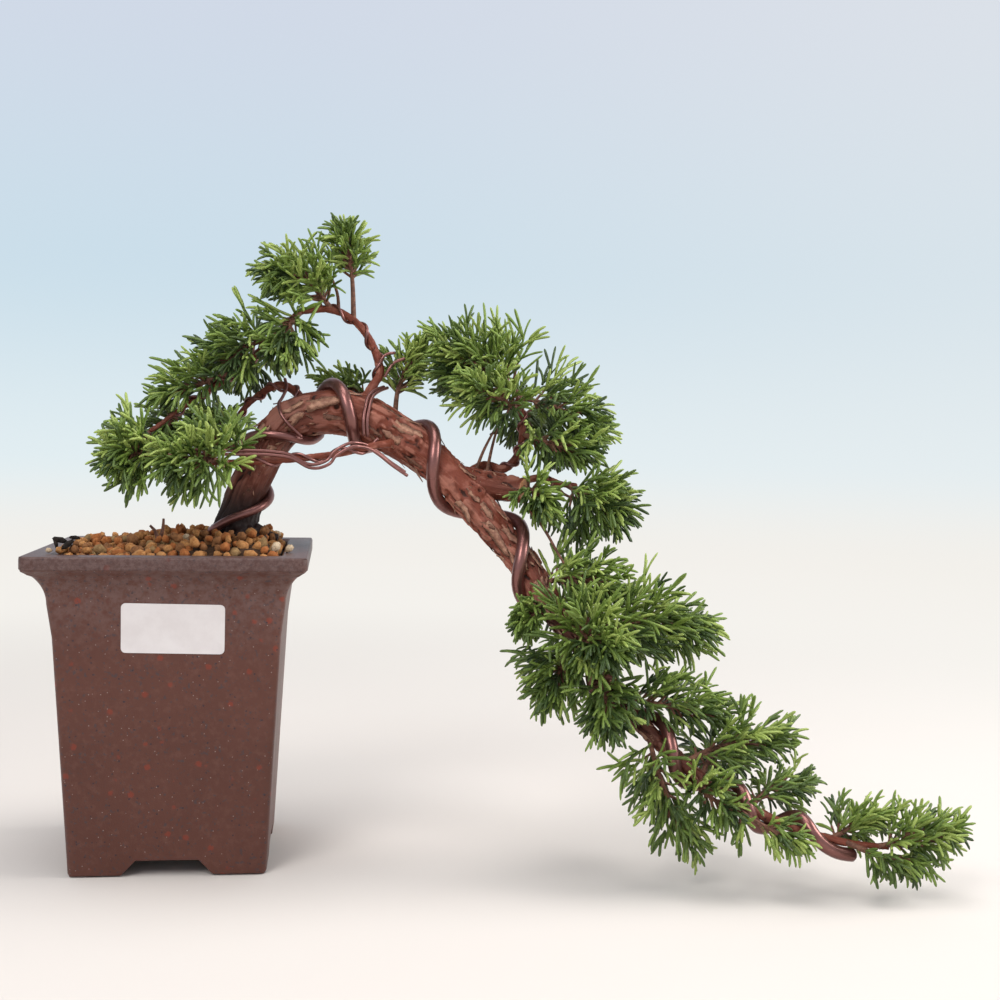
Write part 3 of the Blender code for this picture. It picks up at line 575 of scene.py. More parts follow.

# %% [markdown]
# ## Bark
# Juniper bark is red-brown and peels in long strips that follow the limb. Its finish reads three
# numbers kept on the mesh: how light a point's bark is, which follows its relief and carries
# painted shade in furrows, along the torn edges of lifted plates and in the gaps of rough bark;
# how dark damp and painted shade make it, since bark that soil keeps damp turns nearly black,
# while the gaps of rough bark and the low cascade get painted shade and the rise of the trunk is a
# little darker; and whether it is bare wood where a limb was sawn off. Furrows are painted dark as
# shade, plates are pinkish brown, and the edges where strips lift are tan.

# %% Mix the bark, the twigs and the strips


def bark_finish():
    bark = Finish("flaking bark", Specular_IOR_Level=0.28)
    relief = bark.attribute("relief")
    along = bark.attribute("grain", "Vector")
    fibre = bark.noise(1.0, bark.stretched(along, (0.06, 1.3, 1.3)), detail=4, roughness=0.65)
    fine = bark.noise(0.35, bark.stretched(along, (0.3, 1.0, 1.0)), detail=3)
    patch = bark.noise(7.0, detail=3)
    # painted shade: where the tone is low, in furrows and along torn edges, the bark goes near
    # black
    furrow_shade = bark.between(relief, 0.02, 0.36)
    colour = bark.layered(
        bark.mix(furrow_shade, (0.030, 0.007, 0.003), (0.185, 0.043, 0.023)),
        (bark.between(relief, 0.58, 0.84), (0.345, 0.128, 0.086)),
        (bark.between(patch, 0.52, 0.68) * 0.65, (0.335, 0.118, 0.080)),
        (bark.between(patch, 0.46, 0.30) * 0.60, (0.105, 0.024, 0.012)),
        (bark.between(fibre, 0.54, 0.74) * 0.35, (0.43, 0.200, 0.130)),
        (bark.between(fibre, 0.46, 0.28) * 0.50, (0.075, 0.016, 0.008)),
        # real damp at the foot, and painted shade on the low cascade and in the gaps of rough bark
        (bark.attribute("damp"), (0.012, 0.006, 0.005)),
        (bark.attribute("sawn"), bark.mix(patch, (0.46, 0.19, 0.080), (0.66, 0.34, 0.17))))
    bark.bump(fibre * 0.7 + fine * 0.3, 0.45)
    return bark.set(Base_Color=colour, Roughness=0.44 + fine * 0.22)


def plain_finish(name, low, high, size, roughness, depth, **sockets):
    """A finish that drifts between two colours, with a fine bump."""
    finish = Finish(name, **sockets)
    drift = finish.noise(size, detail=4, roughness=0.65)
    finish.bump(finish.noise(size / 4, detail=2), depth)
    return finish.set(Base_Color=finish.mix(finish.between(drift, 0.3, 0.7), low, high),
                      Roughness=roughness + drift * 0.12)


BARK = bark_finish()
TWIG_BARK = plain_finish("twig bark", (0.085, 0.030, 0.018), (0.24, 0.105, 0.062), 1.8, 0.68, 0.2)
PEEL = plain_finish("peeling strips", (0.19, 0.070, 0.042), (0.47, 0.250, 0.160), 2.2, 0.6, 0.2)
print("three kinds of wood surface")

# %% [markdown]
# ## One mesh of living wood
# Trunk, cascade and boughs are one piece of wood, so their tubes are melted together by a voxel
# remesh, which rounds every fork as growth does. Each point of the skin is then moved out or in.
# The relief is counted along and round its own limb, so plates and fibres run lengthways and
# twist with it. Broad ridges make the trunk less round, and small boughs get only a low, scaly
# relief.

# %% Make the wood
VOXEL = 0.54 * MM         # any finer, and the mesh passes 200,000 triangles
# Roots: the bearing that each leaves the trunk on, and how far it reaches.
ROOTS = ((-10, 0.018), (42, 0.015), (118, 0.014), (185, 0.0155), (274, 0.014), (318, 0.016))
ROOT_HEIGHT = 0.007
ROOT_RADIUS = 0.0038
ROOT_TIP_RADIUS = 0.0016
ROOT_START = 0.002        # from the middle of the trunk
ROOT_SINK = 0.0012
GROUND = 0.1350
SAW_SLANT = 0.6           # the stub was sawn off with its face turned a little to the front
SAW_REACH = 9             # millimetres round the end of the stub that the saw may flatten
BROAD_PLATES = (20.0, 6.5)     # length and width of the trunk's plates of bark, in millimetres
SMALL_PLATES = (7.0, 2.6)
POINTS_AT_ONCE = 8000
# Knots: place and radius in millimetres.
KNOTS = ((127, -13.5, 156.0, 2.0), (100, -9, 176, 1.8), (66, -8.5, 190, 2.2), (143, -20, 131, 1.9),
         (36, -8, 166, 2.0), (112, 6, 168, 2.2), (84, 9, 181, 2.4), (137, -3, 140, 2.3))


def rods(name, lines, resolution, thick):
    """Round rods along lines, tapering as the lines' radii do, as one mesh object."""
    curve = bpy.data.curves.new(name, "CURVE")
    curve.dimensions = "3D"
    curve.bevel_depth = thick
    curve.bevel_resolution = resolution
    curve.use_fill_caps = True
    for line in lines:
        spline = curve.splines.new("POLY")
        spline.points.add(len(line) - 1)
        for point, row in zip(spline.points, line):
            point.co = (*row[:3], 1.0)
            point.radius = row[3] / curve.bevel_depth
    return finished(add_object(name, curve))


def tube(name, line, resolution):
    """One limb or wire along a line."""
    return rods(name, [line], resolution, line[:, 3].max())


def joined(name, items):
    """One object from several, with doubled points merged."""
    shape = bmesh.new()
    for item in items:
        shape.from_mesh(item.data)
        bpy.data.objects.remove(item)
    bmesh.ops.remove_doubles(shape, verts=shape.verts, dist=0.01 * MM)
    mesh = bpy.data.meshes.new(name)
    shape.to_mesh(mesh)
    shape.free()
    return add_object(name, mesh)


def root_lines():
    """Surface roots that leave the trunk's foot and dip into the soil."""
    foot = place(*MAIN_LINE[0][:3])
    for bearing, reach in ROOTS:
        turn = math.radians(bearing)
        out = np.array((math.cos(turn), math.sin(turn), 0.0))
        line = []
        for share in np.linspace(0, 1, 6):
            drop = ROOT_HEIGHT * (1 - share) ** 1.5 - ROOT_SINK
            away = ROOT_START + (reach - ROOT_START) * share
            spot = foot + out * away + np.array((0, 0, drop))
            line.append((*spot, ROOT_RADIUS + (ROOT_TIP_RADIUS - ROOT_RADIUS) * share))
        yield np.array(line)


def nearest_rows(points, lines):
    """For each point: its distance along its limb, its place across it, and the limb's radius."""
    best = np.full(len(points), 1e9)
    grain = np.zeros((len(points), 3))
    radius = np.zeros(len(points))
    for line in lines:
        run = lengths(line)
        headings = np.gradient(line[:, :3], axis=0)
        headings /= np.linalg.norm(headings, axis=1)[:, None]
        side = np.cross(headings, (0.0, 1.0, 0.0))
        side /= np.linalg.norm(side, axis=1)[:, None]
        front = np.cross(headings, side)
        for start in range(0, len(points), POINTS_AT_ONCE):
            part = slice(start, start + POINTS_AT_ONCE)
            offset = points[part, None, :] - line[None, :, :3]
            away = np.linalg.norm(offset, axis=2) - 0.6 * line[None, :, 3]
            row = away.argmin(axis=1)
            gap = away[np.arange(len(row)), row]
            spot = offset[np.arange(len(row)), row]
            shift = (spot * headings[row]).sum(axis=1)
            closer = gap < best[part]
            values = np.stack((run[row] + shift, (spot * side[row]).sum(axis=1),
                               (spot * front[row]).sum(axis=1)), axis=1)
            grain[part][closer] = values[closer]
            radius[part][closer] = line[row, 3][closer]
            best[part][closer] = gap[closer]
    return grain / MM, radius / MM


def ease(value, low, high):
    """0 below one value, 1 above another, and smooth between them."""
    share = min(1.0, max(0.0, (value - low) / (high - low)))
    return share * share * (3 - 2 * share)


# %% [markdown]
# ## Relief of the bark
# Old bark splits into plates with furrows between them, and some plates lift or fall away. Cells
# stretched along the limb give broad plates, with small chips on top of them. An unwrapped picture
# could do it too, but noise in the limb's own coordinates has no seam and follows every bend.

# %% Work out the relief
def limb_noise(g, along, across):
    """Noise that runs along a limb, at a place given in millimetres along and across it."""
    return noise.noise(Vector((g.x * along, g.y * across, g.z * across)))


def plate_height(g, long, wide):
    """Height of the bark's plates, from 0 in a furrow, and how lifted this plate is."""
    warp = 0.5 * limb_noise(g, 0.12, 0.2)
    spot = Vector((g.x / long + warp, g.y / wide + warp, g.z / wide))
    distances, centres = noise.voronoi(spot)
    edge = distances[1] - distances[0]
    lift = noise.noise(centres[0] * 7.3)
    return ease(edge, 0.02, 0.22), lift


def bark_skin(g, radius):
    """How far the bark stands out, in millimetres, how light it is, with painted shadow along torn
    edges and painted shade in rough gaps, and how much painted shade darkens its rough gaps.
    """
    thick = ease(radius, 1.8, 5.0)
    plate, lift = plate_height(g, *BROAD_PLATES)
    small, small_lift = plate_height(g, *SMALL_PLATES)
    raised = ease(lift, 0.06, 0.12) * plate
    ragged = ease(limb_noise(g, 0.21, 0.4), -0.02, 0.25)
    torn = ease(lift, 0.04, 0.12) * (1 - plate) * ragged
    chipped = ease(small_lift, 0.12, 0.2) * small
    fibre = limb_noise(g, 0.06, 1.0)
    ridge = limb_noise(g, 0.035, 0.16)
    scale = limb_noise(g, 0.8, 0.8)
    low_side = ease(g.x, 150, 180) * ease(g.y, 0.5, 3.5)
    rough = max(low_side, ease(g.x, 196, 222)) if radius > 3 else 0.0
    # Each kind of roughness stands out, or sinks in, by so many millimetres: first on thick limbs,
    # then where the old bark is coarse, then on thin boughs.
    height = 0.72 * raised + 0.34 * chipped - 0.55 * torn + 0.20 * fibre
    out = thick * (height + 0.9 * ridge - 0.2)
    out += thick * rough * (0.9 * small - 0.55 + 0.5 * small_lift + 0.3 * fibre)
    out += (1 - thick) * (0.16 * scale + 0.20 * fibre + 0.10 * small - 0.16)
    # Lightness: raised plates and chips are lighter; the torn edges of lifted plates are darker as
    # painted shadow, and the gaps of rough bark as painted shade.
    light = (0.46 + 0.34 * raised - 0.62 * torn + 0.16 * chipped + 0.20 * fibre
             - rough * (0.34 - 0.38 * small))
    return out, min(1.0, max(0.0, light)), 0.55 * rough * (1 - 0.5 * small)


def bark_darkening(g, radius, point):
    """How dark the bark is made: most at the trunk's foot, which soil keeps damp, less where the
    trunk rises to the arch, and low on the cascade, where it is painted shade.
    """
    west = (POT_MIDDLE.x - point[0]) / MM
    foot = 0.95 * ease(-point[2] / MM, -166, -145) * ease(west, -62, -50)
    rise = 0.30 * ease(-g.x, -82, -58) * ease(g.x, 5, 20) * ease(radius, 4, 6)
    # painted shade on the low cascade
    cascade = 0.50 * ease(g.x, 182, 212) * ease(radius, 1.5, 3)
    return max(foot, rise, cascade)


# %% [markdown]
# ## Melting and carving
# The tubes are melted first, and the relief is laid on after, because a remesh would blur it. Knots
# are rings with a hollow in the middle, and the sawn stub is pressed flat. What a point got is kept
# on the mesh as attributes, for the finish to read.

# %% Melt the tubes and carve the bark
def melted_wood():
    """The tubes of all limbs and roots as one closed skin."""
    tubes = [tube("limb", main_line, 5)]
    tubes += [tube("limb", line, 3) for line in boughs.values()]
    tubes += [tube("root", line, 2) for line in root_lines()]
    wood = joined("bark_and_boughs", tubes)
    remesh = wood.modifiers.new("Melt", "REMESH")
    remesh.mode = "VOXEL"
    remesh.voxel_size = VOXEL
    remesh.use_smooth_shade = True
    return finished(wood)


def make_wood():
    wood = melted_wood()
    mesh = wood.data
    count = len(mesh.vertices)
    points, normals = np.zeros((2, count * 3))
    mesh.vertices.foreach_get("co", points)
    mesh.vertices.foreach_get("normal", normals)
    points, normals = points.reshape(-1, 3), normals.reshape(-1, 3)
    grain, radius = nearest_rows(points, [main_line, *boughs.values()])
    knots = [(place(x, y, z), size * MM) for x, y, z, size in KNOTS]
    sawn = place(*BOUGH_LINES["stub"][-1][:3])
    relief, damp, bare_wood, moved = np.zeros((4, count))
    for k in range(count):
        g = Vector(grain[k])
        out, relief[k], shade = bark_skin(g, radius[k])
        for spot, size in knots:
            away = math.dist(points[k], spot) / size
            if away < 2.2:
                out += 0.9 * ease(-away, -2.0, -1.1) - 1.1 * ease(-away, -0.75, -0.3)
                # a knot's hollow is made darker
                relief[k] *= 1 - 0.8 * ease(-away, -0.9, -0.5)
        behind = (points[k] - sawn) / MM
        slant = behind[0] - SAW_SLANT * (behind[1] - 3)
        if slant > -1.5 and np.linalg.norm(behind) < SAW_REACH:
            points[k][0] -= max(0.0, slant) * MM
            bare_wood[k] = ease(slant, -0.7, -0.1)
            out *= 0.15
        # the darkest of: painted shade in rough gaps, damp at the foot, the darker rise, and
        # painted shade on the low cascade
        damp[k] = max(shade, bark_darkening(g, radius[k], points[k]))
        moved[k] = out * MM
    points += normals * moved[:, None]
    mesh.vertices.foreach_set("co", points.ravel())
    for name, values in (("relief", relief), ("damp", damp), ("sawn", bare_wood)):
        mesh.attributes.new(name, "FLOAT", "POINT").data.foreach_set("value", values)
    mesh.attributes.new("grain", "FLOAT_VECTOR", "POINT").data.foreach_set("vector", grain.ravel())
    mesh.materials.clear()
    mesh.materials.append(BARK)
    smooth_all(mesh)
    return wood


wood = make_wood()
put_on(wood, "bark", "trunk_lower", "trunk_upper", "trunk_stub", "cascade_upper", "cascade_middle",
       "cascade_tip", "crown_bough_rise", "crown_bough_fall", "low_bough", "arch_bough",
       "shoulder_bough", "right_bough")

# %% [markdown]
# ## Training wires
# Bonsai wire is soft aluminium, anodised copper-brown: satin, darker where it was handled, with a
# pinkish gleam. Two thick wires follow the trunk in long, even turns, a little clear of the bark,
# and pairs of thin wires hold the boughs. A turn is given by its distance along the limb and its
# bearing round it, and what lies between is worked out on a smooth spline.

# %% Mix and wind the wires
BASE_WIRE_RADIUS = 0.0019
TRUNK_WIRE_RADIUS = 0.0027
WIRE_LIFT = 0.0004
WIRE_STEP = 12            # degrees of winding from point to point
THIN_WIRE = 0.0007
THIN_STEP = 24
NIPPED = 0.75             # radius of a wire's cut end, as a share of the wire's own
# Turns: distance along the trunk in metres, and bearing round it in degrees.
BASE_WIRE_TURNS = ((.002, 40), (.019, 170), (.028, 280), (.038, 370), (.047, 455), (.066, 575))
TRUNK_WIRE_TURNS = ((.067, -70), (.080, 90), (.123, 450), (.181, 810), (.232, 1170),
                    (.283, 1530), (.319, 1890), (.346, 2250), (.362, 2350))


def wire_finish():
    wire = Finish("copper-brown wire", Metallic=0.85, Coat_Weight=0.30, Coat_Roughness=0.25)
    handled = wire.noise(9, detail=3, roughness=0.6)
    scratch = wire.noise(0.8, wire.stretched(wire.where, (0.35, 0.35, 2.0)), detail=3)
    dull = wire.between(handled, 0.52, 0.72)
    body = wire.layered((0.225, 0.092, 0.080), (dull * 0.6, (0.115, 0.042, 0.036)),
                        (wire.between(scratch, 0.62, 0.72) * 0.35, (0.55, 0.30, 0.25)))
    wire.bump(scratch * 0.5 + handled * 0.5, 0.05)
    return wire.set(Base_Color=body, Roughness=0.31 + dull * 0.12 + scratch * 0.06)


WIRE = wire_finish()


def wound_line(line, turns, radius, step=WIRE_STEP):
    """A wire's line, wound on a limb through pairs of distance and bearing."""
    distances = np.array([turn[0] for turn in turns])
    bearings = np.array([turn[1] for turn in turns])
    count = max(6, round((bearings[-1] - bearings[0]) / step))
    rows = []
    for k in range(count + 1):
        bearing = bearings[0] + (bearings[-1] - bearings[0]) * k / count
        distance = np.interp(bearing, bearings, distances)
        row, heading = row_at(line, distance)
        outer = np.cross(heading, (0, 1, 0))
        outer /= np.linalg.norm(outer)
        front = np.cross(heading, outer)
        turn = math.radians(bearing)
        widest = max(row_at(line, distance + shift)[0][3] for shift in (-radius, 0, radius))
        off = widest + radius + WIRE_LIFT
        rows.append((*(row[:3] + off * (math.cos(turn) * outer + math.sin(turn) * front)), radius))
    return relaxed(np.array(rows))


def relaxed(line):
    """Evens out the kinks of a wire, with its ends kept."""
    for _ in range(6):
        line[1:-1] = (line[:-2] + 2 * line[1:-1] + line[2:]) / 4
    return line


def nipped(line):
    """A wire's line with its cut ends slightly rounded."""
    ends = []
    for end, inner in ((line[0], line[1]), (line[-1], line[-2])):
        way = (end - inner)[:3]
        tip = end.copy()
        tip[:3] += way / np.linalg.norm(way) * line[0, 3] / 3
        tip[3] *= NIPPED
        ends.append(tip)
    return np.vstack((ends[0], line, ends[1]))


def make_wire(name, lines, resolution, *nodes):
    """One piece from some wires, smooth along and round, with welded caps."""
    piece = joined(name, [tube(name, nipped(line), resolution) for line in lines])
    piece.data.materials.append(WIRE)
    shade_smooth(piece.data, 50)
    put_on(piece, "wire", *nodes)
    return piece


base_wire = wound_line(main_line, BASE_WIRE_TURNS, BASE_WIRE_RADIUS)
trunk_wire = wound_line(main_line, TRUNK_WIRE_TURNS, TRUNK_WIRE_RADIUS)
make_wire("thick_wires", [base_wire, trunk_wire], 5, "base_wire", "trunk_wire")

# %% [markdown]
# ## Thin wires
# Two thin strands hold the low bough: they leave the trunk's underside side by side, dip in a
# loop under the arch, follow the bough and end in a small hook. Others climb the crown's bough and
# the shoulder, and end in snipped tips that stand off. Free stretches are given by their bends.

# %% Bend the thin wires
LOW_STRAND = (
    (94.9, -14, 163.2), (88.1, -15.5, 167.8), (83, -17.5, 171.8), (78.3, -20, 174.6),
    (73.3, -24.3, 175.4), (69.6, -25.2, 174.4), (65, -25.4, 171.5), (62.6, -25.5, 168.2),
    (58.1, -26.4, 166.3), (54, -27.2, 166.5), (50.3, -27.6, 168.4), (47.1, -28, 170.2),
    (43, -28.6, 171.0), (35.8, -29.5, 171.6), (27.1, -31.3, 171.6), (17.2, -33, 171.5),
    (9.9, -34.6, 171.6), (3.6, -36.2, 172.2), (-3.9, -38, 172.6), (-6.8, -38.4, 170.2),
    (-5.7, -38, 168.2), (-3.8, -37, 166.8),
)
TRUNK_STRAND = ((77.5, -12.8, 178.4), (77.2, -12.6, 184), (78.0, -10.2, 190.2), (79.6, -5.6, 195.2),
                (82.5, -1.6, 197.8), (86.2, 2.6, 199.4))
ARCH_STRAND = ((51.5, -11, 177.4), (48.2, -11.2, 180.4), (45.2, -11.2, 183.4), (42.5, -9.4, 187.6),
               (41.6, -5, 191.2), (43.0, 1.0, 194.2), (44.5, 6.0, 198.5), (43.6, 9.0, 202.2))
SNIPPED_TIPS = (((84.0, 4.6, 208.4), (85.2, 4.4, 211.6), (87.4, 4.6, 213.6), (90.8, 5, 214.2)),
                ((86.4, 3.4, 203.8), (88.4, 3.2, 207.2), (90.6, 3.6, 210.0), (95, 4, 211.8)))
# Windings: bough, distances of start and end in metres, turns, and bearing of the start.
WINDINGS = (("crown_rise", 0.006, 0.056, 3.4, 120), ("crown_fall", 0.004, 0.07, 5, 60),
            ("low", 0.014, 0.098, 4.5, 200), ("arch", 0.006, 0.05, 3.5, 30),
            ("shoulder", 0.012, 0.062, 4, 90))


def strand(controls, shift=(0, 0, 0)):
    """A thin wire through its bends in millimetres, moved aside to lie next to another."""
    rows = [(x + shift[0], y + shift[1], z + shift[2], THIN_WIRE / MM) for x, y, z in controls]
    return smooth_line(rows, 1.2 * MM)


def climbing(line, start, end, turns, bearing):
    """A thin wire wound on a bough from one distance to another."""
    pairs = ((start, bearing), (min(end, lengths(line)[-1] - MM), bearing + 360 * turns))
    return wound_line(line, pairs, THIN_WIRE, THIN_STEP)


thin = [strand(LOW_STRAND), strand(LOW_STRAND, (1.0, -0.4, -1.5)), strand(TRUNK_STRAND),
        strand(TRUNK_STRAND, (1.6, 0.2, -0.4)), strand(ARCH_STRAND), *map(strand, SNIPPED_TIPS)]
thin += [climbing(boughs[bough], *winding) for bough, *winding in WINDINGS]
make_wire("thin_wires", thin, 2)

# %% [markdown]
# ## Scattering by Geometry Nodes
# Grains, strips of bark and scale-leaf twigs are each a few shapes repeated many times. The places
# are kept as points with attributes: the way a copy points, the side it turns to, its size, its
# shape's number and its colour's number. One tree stands the copies on the points, makes them
# real, and sets a material for each colour.

# %% Build the scattering tree
POINT_LAYERS = {"way": "FLOAT_VECTOR", "side": "FLOAT_VECTOR", "size": "FLOAT_VECTOR",
                "shape": "INT", "colour": "INT"}


def scatter_tree(name, colours):
    """A node group with the shapes' collection and each colour as named inputs."""
    tree = bpy.data.node_groups.new(name, "GeometryNodeTree")
    sockets = [("Points", "Geometry"), ("Shapes", "Collection")]
    sockets += [(f"Colour {k}", "Material") for k in range(colours)]
    for title, kind in sockets:
        tree.interface.new_socket(title, in_out="INPUT", socket_type="NodeSocket" + kind)
    tree.interface.new_socket("Geometry", in_out="OUTPUT", socket_type="NodeSocketGeometry")
    board = Board(tree)
    entry = tree.nodes.new("NodeGroupInput")

    def given(title):
        return Plug(board, entry.outputs[title])

    def kept(title):
        return board.node("GeometryNodeInputNamedAttribute", {"data_type": POINT_LAYERS[title]},
                          {"Name": title})

    upright = board.node("FunctionNodeAlignRotationToVector", {"axis": "Z"}, {
        "Vector": kept("way")})
    turned = board.node("FunctionNodeAlignRotationToVector", {"axis": "X", "pivot_axis": "Z"}, {
        "Rotation": upright, "Vector": kept("side")})
    choice = board.node("GeometryNodeCollectionInfo", None, {
        "Collection": given("Shapes"), "Separate Children": True, "Reset Children": True})
    copies = board.node("GeometryNodeInstanceOnPoints", None, {
        "Points": given("Points"), "Instance": choice, "Pick Instance": True,
        "Instance Index": kept("shape"), "Rotation": turned,
        "Scale": kept("size")})
    made = board.node("GeometryNodeRealizeInstances", None, {"Geometry": copies})
    for k in range(colours):
        chosen = board.node("FunctionNodeCompare", {"data_type": "INT", "operation": "EQUAL"}, {
            2: kept("colour"), 3: k})
        made = board.node("GeometryNodeSetMaterial", None, {
            "Geometry": made, "Selection": chosen, "Material": given(f"Colour {k}")})
    leave = tree.nodes.new("NodeGroupOutput")
    board.feed(leave.inputs["Geometry"], made)
    return tree


def scatter(name, rows, shapes, materials):
    """One plain mesh from rows of (place, way, side, size, shape, colour)."""
    places, *columns = (np.array(part) for part in zip(*rows))
    mesh = bpy.data.meshes.new(name)
    mesh.from_pydata([tuple(p) for p in places], [], [])
    for (title, kind), values in zip(POINT_LAYERS.items(), columns):
        whole = kind == "INT"
        layer = mesh.attributes.new(title, kind, "POINT")
        layer.data.foreach_set("value" if whole else "vector",
                               values.astype(int if whole else float).ravel())
    store = bpy.data.collections.new(name + " shapes")
    for k, shape in enumerate(shapes):
        store.objects.link(bpy.data.objects.new(f"{name}_{k}", shape))
    holder = add_object(name, mesh)
    tree = scatter_tree(name, len(materials))
    modifier = holder.modifiers.new("Scatter", "NODES")
    modifier.node_group = tree
    given = {item.name: item.identifier for item in tree.interface.items_tree
             if item.in_out == "INPUT"}
    modifier[given["Shapes"]] = store
    for k, material in enumerate(materials):
        modifier[given[f"Colour {k}"]] = material
    piece = finished(holder)
    for shape_object in list(store.objects):
        bpy.data.objects.remove(shape_object)
    bpy.data.collections.remove(store)
    for title in POINT_LAYERS:
        layer = piece.data.attributes.get(title)
        if layer is not None:
            piece.data.attributes.remove(layer)
    smooth_all(piece.data)
    return piece


def shape_mesh(name, shape, mesh=None):
    """Mesh data from a bmesh, with its faces turned outwards."""
    bmesh.ops.recalc_face_normals(shape, faces=shape.faces)
    mesh = mesh or bpy.data.meshes.new(name)
    shape.to_mesh(mesh)
    shape.free()
    return mesh


# %% [markdown]
# ## Soil
# The soil is baked clay: hard, angular grains from four to seven millimetres, ochre to rust, with
# some olive-brown. A rough bed fills the pot and rises to the trunk, painted dark brown as the
# shade between the grains, and the grains lie on it in a loose double layer. Each grain is the
# hull of a few random dots, so its corners are real. A few beige grains and bits of black humus
# are mixed in.

# %% Make the soil
SOIL_EDGE = 0.1292
PAD_RADIUS = 0.019
MOUND_RADIUS = 0.062
SOIL_SHOULDER = 0.007     # width of the slope from the mound down to the rim
CLEAR = 0.3 * MM
SOIL_CELLS = 56
GRAIN_SHAPES = 7
GRAIN_POINTS = 17
HUMUS = 5                 # the last of the grains' colours, for long dark scraps
GRAIN_TRIES = 7000
LOWER_SHARE = 0.62        # of the tries, for the layer underneath
GRAIN_SIZES = (4.0, 7.6)  # millimetres
GRAIN_ROOM = 0.38         # least distance between two grains, as a share of their two sizes
GRAIN_CELL = 6 * MM       # cell of the grid that finds a grain's neighbours
FOOT_CLEAR = 8.5 * MM     # kept free of grains round the trunk's foot
# Grains laid one by one: place and size in millimetres, and colour's number.
LAID_GRAINS = ((47.5, -30, 131.9, 4.6, 4), (-46.2, -41, 131.4, 3.8, 4), (42, -33, 132.6, 5.2, 4),
               (-42.5, -36, 135.0, 5.5, 5), (-39.5, -38, 133.5, 5.5, 5),
               (-45.0, -33, 133.4, 4.5, 5), (-37.0, -36, 136.0, 4.2, 5))
TRUNK_FOOT = np.array(place(*MAIN_LINE[0][:3])) - np.array(POT_MIDDLE)


def soil_height(x, y):
    """Height of the soil at a place measured from the pot's middle."""
    away = math.hypot(x - TRUNK_FOOT[0], y - TRUNK_FOOT[1])
    inside = MOUTH_WIDTH / 2 - 2.5 * CLEAR - max(abs(x), abs(y))
    slope = min(1.0, max(0.0, inside / SOIL_SHOULDER))
    return SOIL_EDGE + (GROUND - SOIL_EDGE) * (1 - ease(away, PAD_RADIUS, MOUND_RADIUS)) * slope


def make_soil_bed(material):
    """The soil as one closed body, lumpy on top."""
    top = MOUTH_WIDTH / 2 - 2.5 * CLEAR
    bottom = WELL_WIDTH / 2 - 3 * EDGE_ROUND - 2 * CLEAR
    shape = bmesh.new()
    bmesh.ops.create_grid(shape, x_segments=SOIL_CELLS, y_segments=SOIL_CELLS, size=1.0)
    upper = list(shape.verts)
    under = bmesh.ops.extrude_face_region(shape, geom=list(shape.faces), use_keep_orig=True)["geom"]
    for vert in upper:
        x, y = vert.co.x * top, vert.co.y * top
        lump = noise.noise(Vector((x, y, 0.0)) / MM * 0.35)
        vert.co = Vector((x, y, soil_height(x, y) - 1.2 * MM + 0.9 * MM * lump))
    for item in under:
        if isinstance(item, bmesh.types.BMVert):
            item.co = Vector((item.co.x * bottom, item.co.y * bottom, FLOOR_TOP + CLEAR))
    bmesh.ops.translate(shape, verts=shape.verts, vec=POT_MIDDLE)
    bed = add_object("soil_bed", shape_mesh("soil_bed", shape), material)
    shade_smooth(bed.data, 50)
    return bed


# %% [markdown]
# ## Grains of soil
# Grains poured on a bed lie where they find room. Darts are thrown at the soil with a fixed seed,
# and one that falls too near another is left out. A physics run could settle them as well, but it
# is slow, and grains that touch everywhere look much the same from above.

# %% Shape and throw the grains
def grain_shape(number):
    """An angular grain about one unit across: the hull of some dots near a ball."""
    chance = random.Random(f"grain {number}")
    shape = bmesh.new()
    for k in range(GRAIN_POINTS):
        level = 1 - 2 * (k + 0.5) / GRAIN_POINTS
        turn = 2.39996 * k + chance.uniform(-0.5, 0.5)
        ring = math.sqrt(1 - level * level)
        dot = Vector((ring * math.cos(turn), ring * math.sin(turn) * 0.86, level * 0.8))
        shape.verts.new(dot * chance.uniform(0.40, 0.54))
    bmesh.ops.convex_hull(shape, input=shape.verts)
    loose = [vert for vert in shape.verts if not vert.link_faces]
    bmesh.ops.delete(shape, geom=loose, context="VERTS")
    return shape_mesh(f"grain {number}", shape)


def any_way(chance):
    """A random direction."""
    return Vector([chance.gauss(0, 1) for _ in range(3)]).normalized()


def grain_spot(chance, upper, taken):
    """A dart thrown at the soil: its place and size, or None where there is no room."""
    half = MOUTH_WIDTH / 2 + CLEAR
    size = chance.uniform(*GRAIN_SIZES) * MM
    x, y = (chance.uniform(-half, half) for _ in range(2))
    if max(abs(x), abs(y)) > half - size / 2:
        return None
    if math.hypot(x - TRUNK_FOOT[0], y - TRUNK_FOOT[1]) < FOOT_CLEAR + size / 2:
        return None
    level = soil_height(x, y) + (1.9 if upper else -0.8) * MM + chance.uniform(-0.4, 0.5) * MM
    if upper and noise.noise(Vector((x, y, 0)) / MM * 0.09) < -0.12:
        return None
    column, row = int(x // GRAIN_CELL), int(y // GRAIN_CELL)
    near = [dot for i in (-1, 0, 1) for j in (-1, 0, 1)
            for dot in taken.get((column + i, row + j), ())]
    if any(math.dist((x, y, level), dot[:3]) < GRAIN_ROOM * (size + dot[3]) for dot in near):
        return None
    taken.setdefault((column, row), []).append((x, y, level, size))
    return x, y, level, size


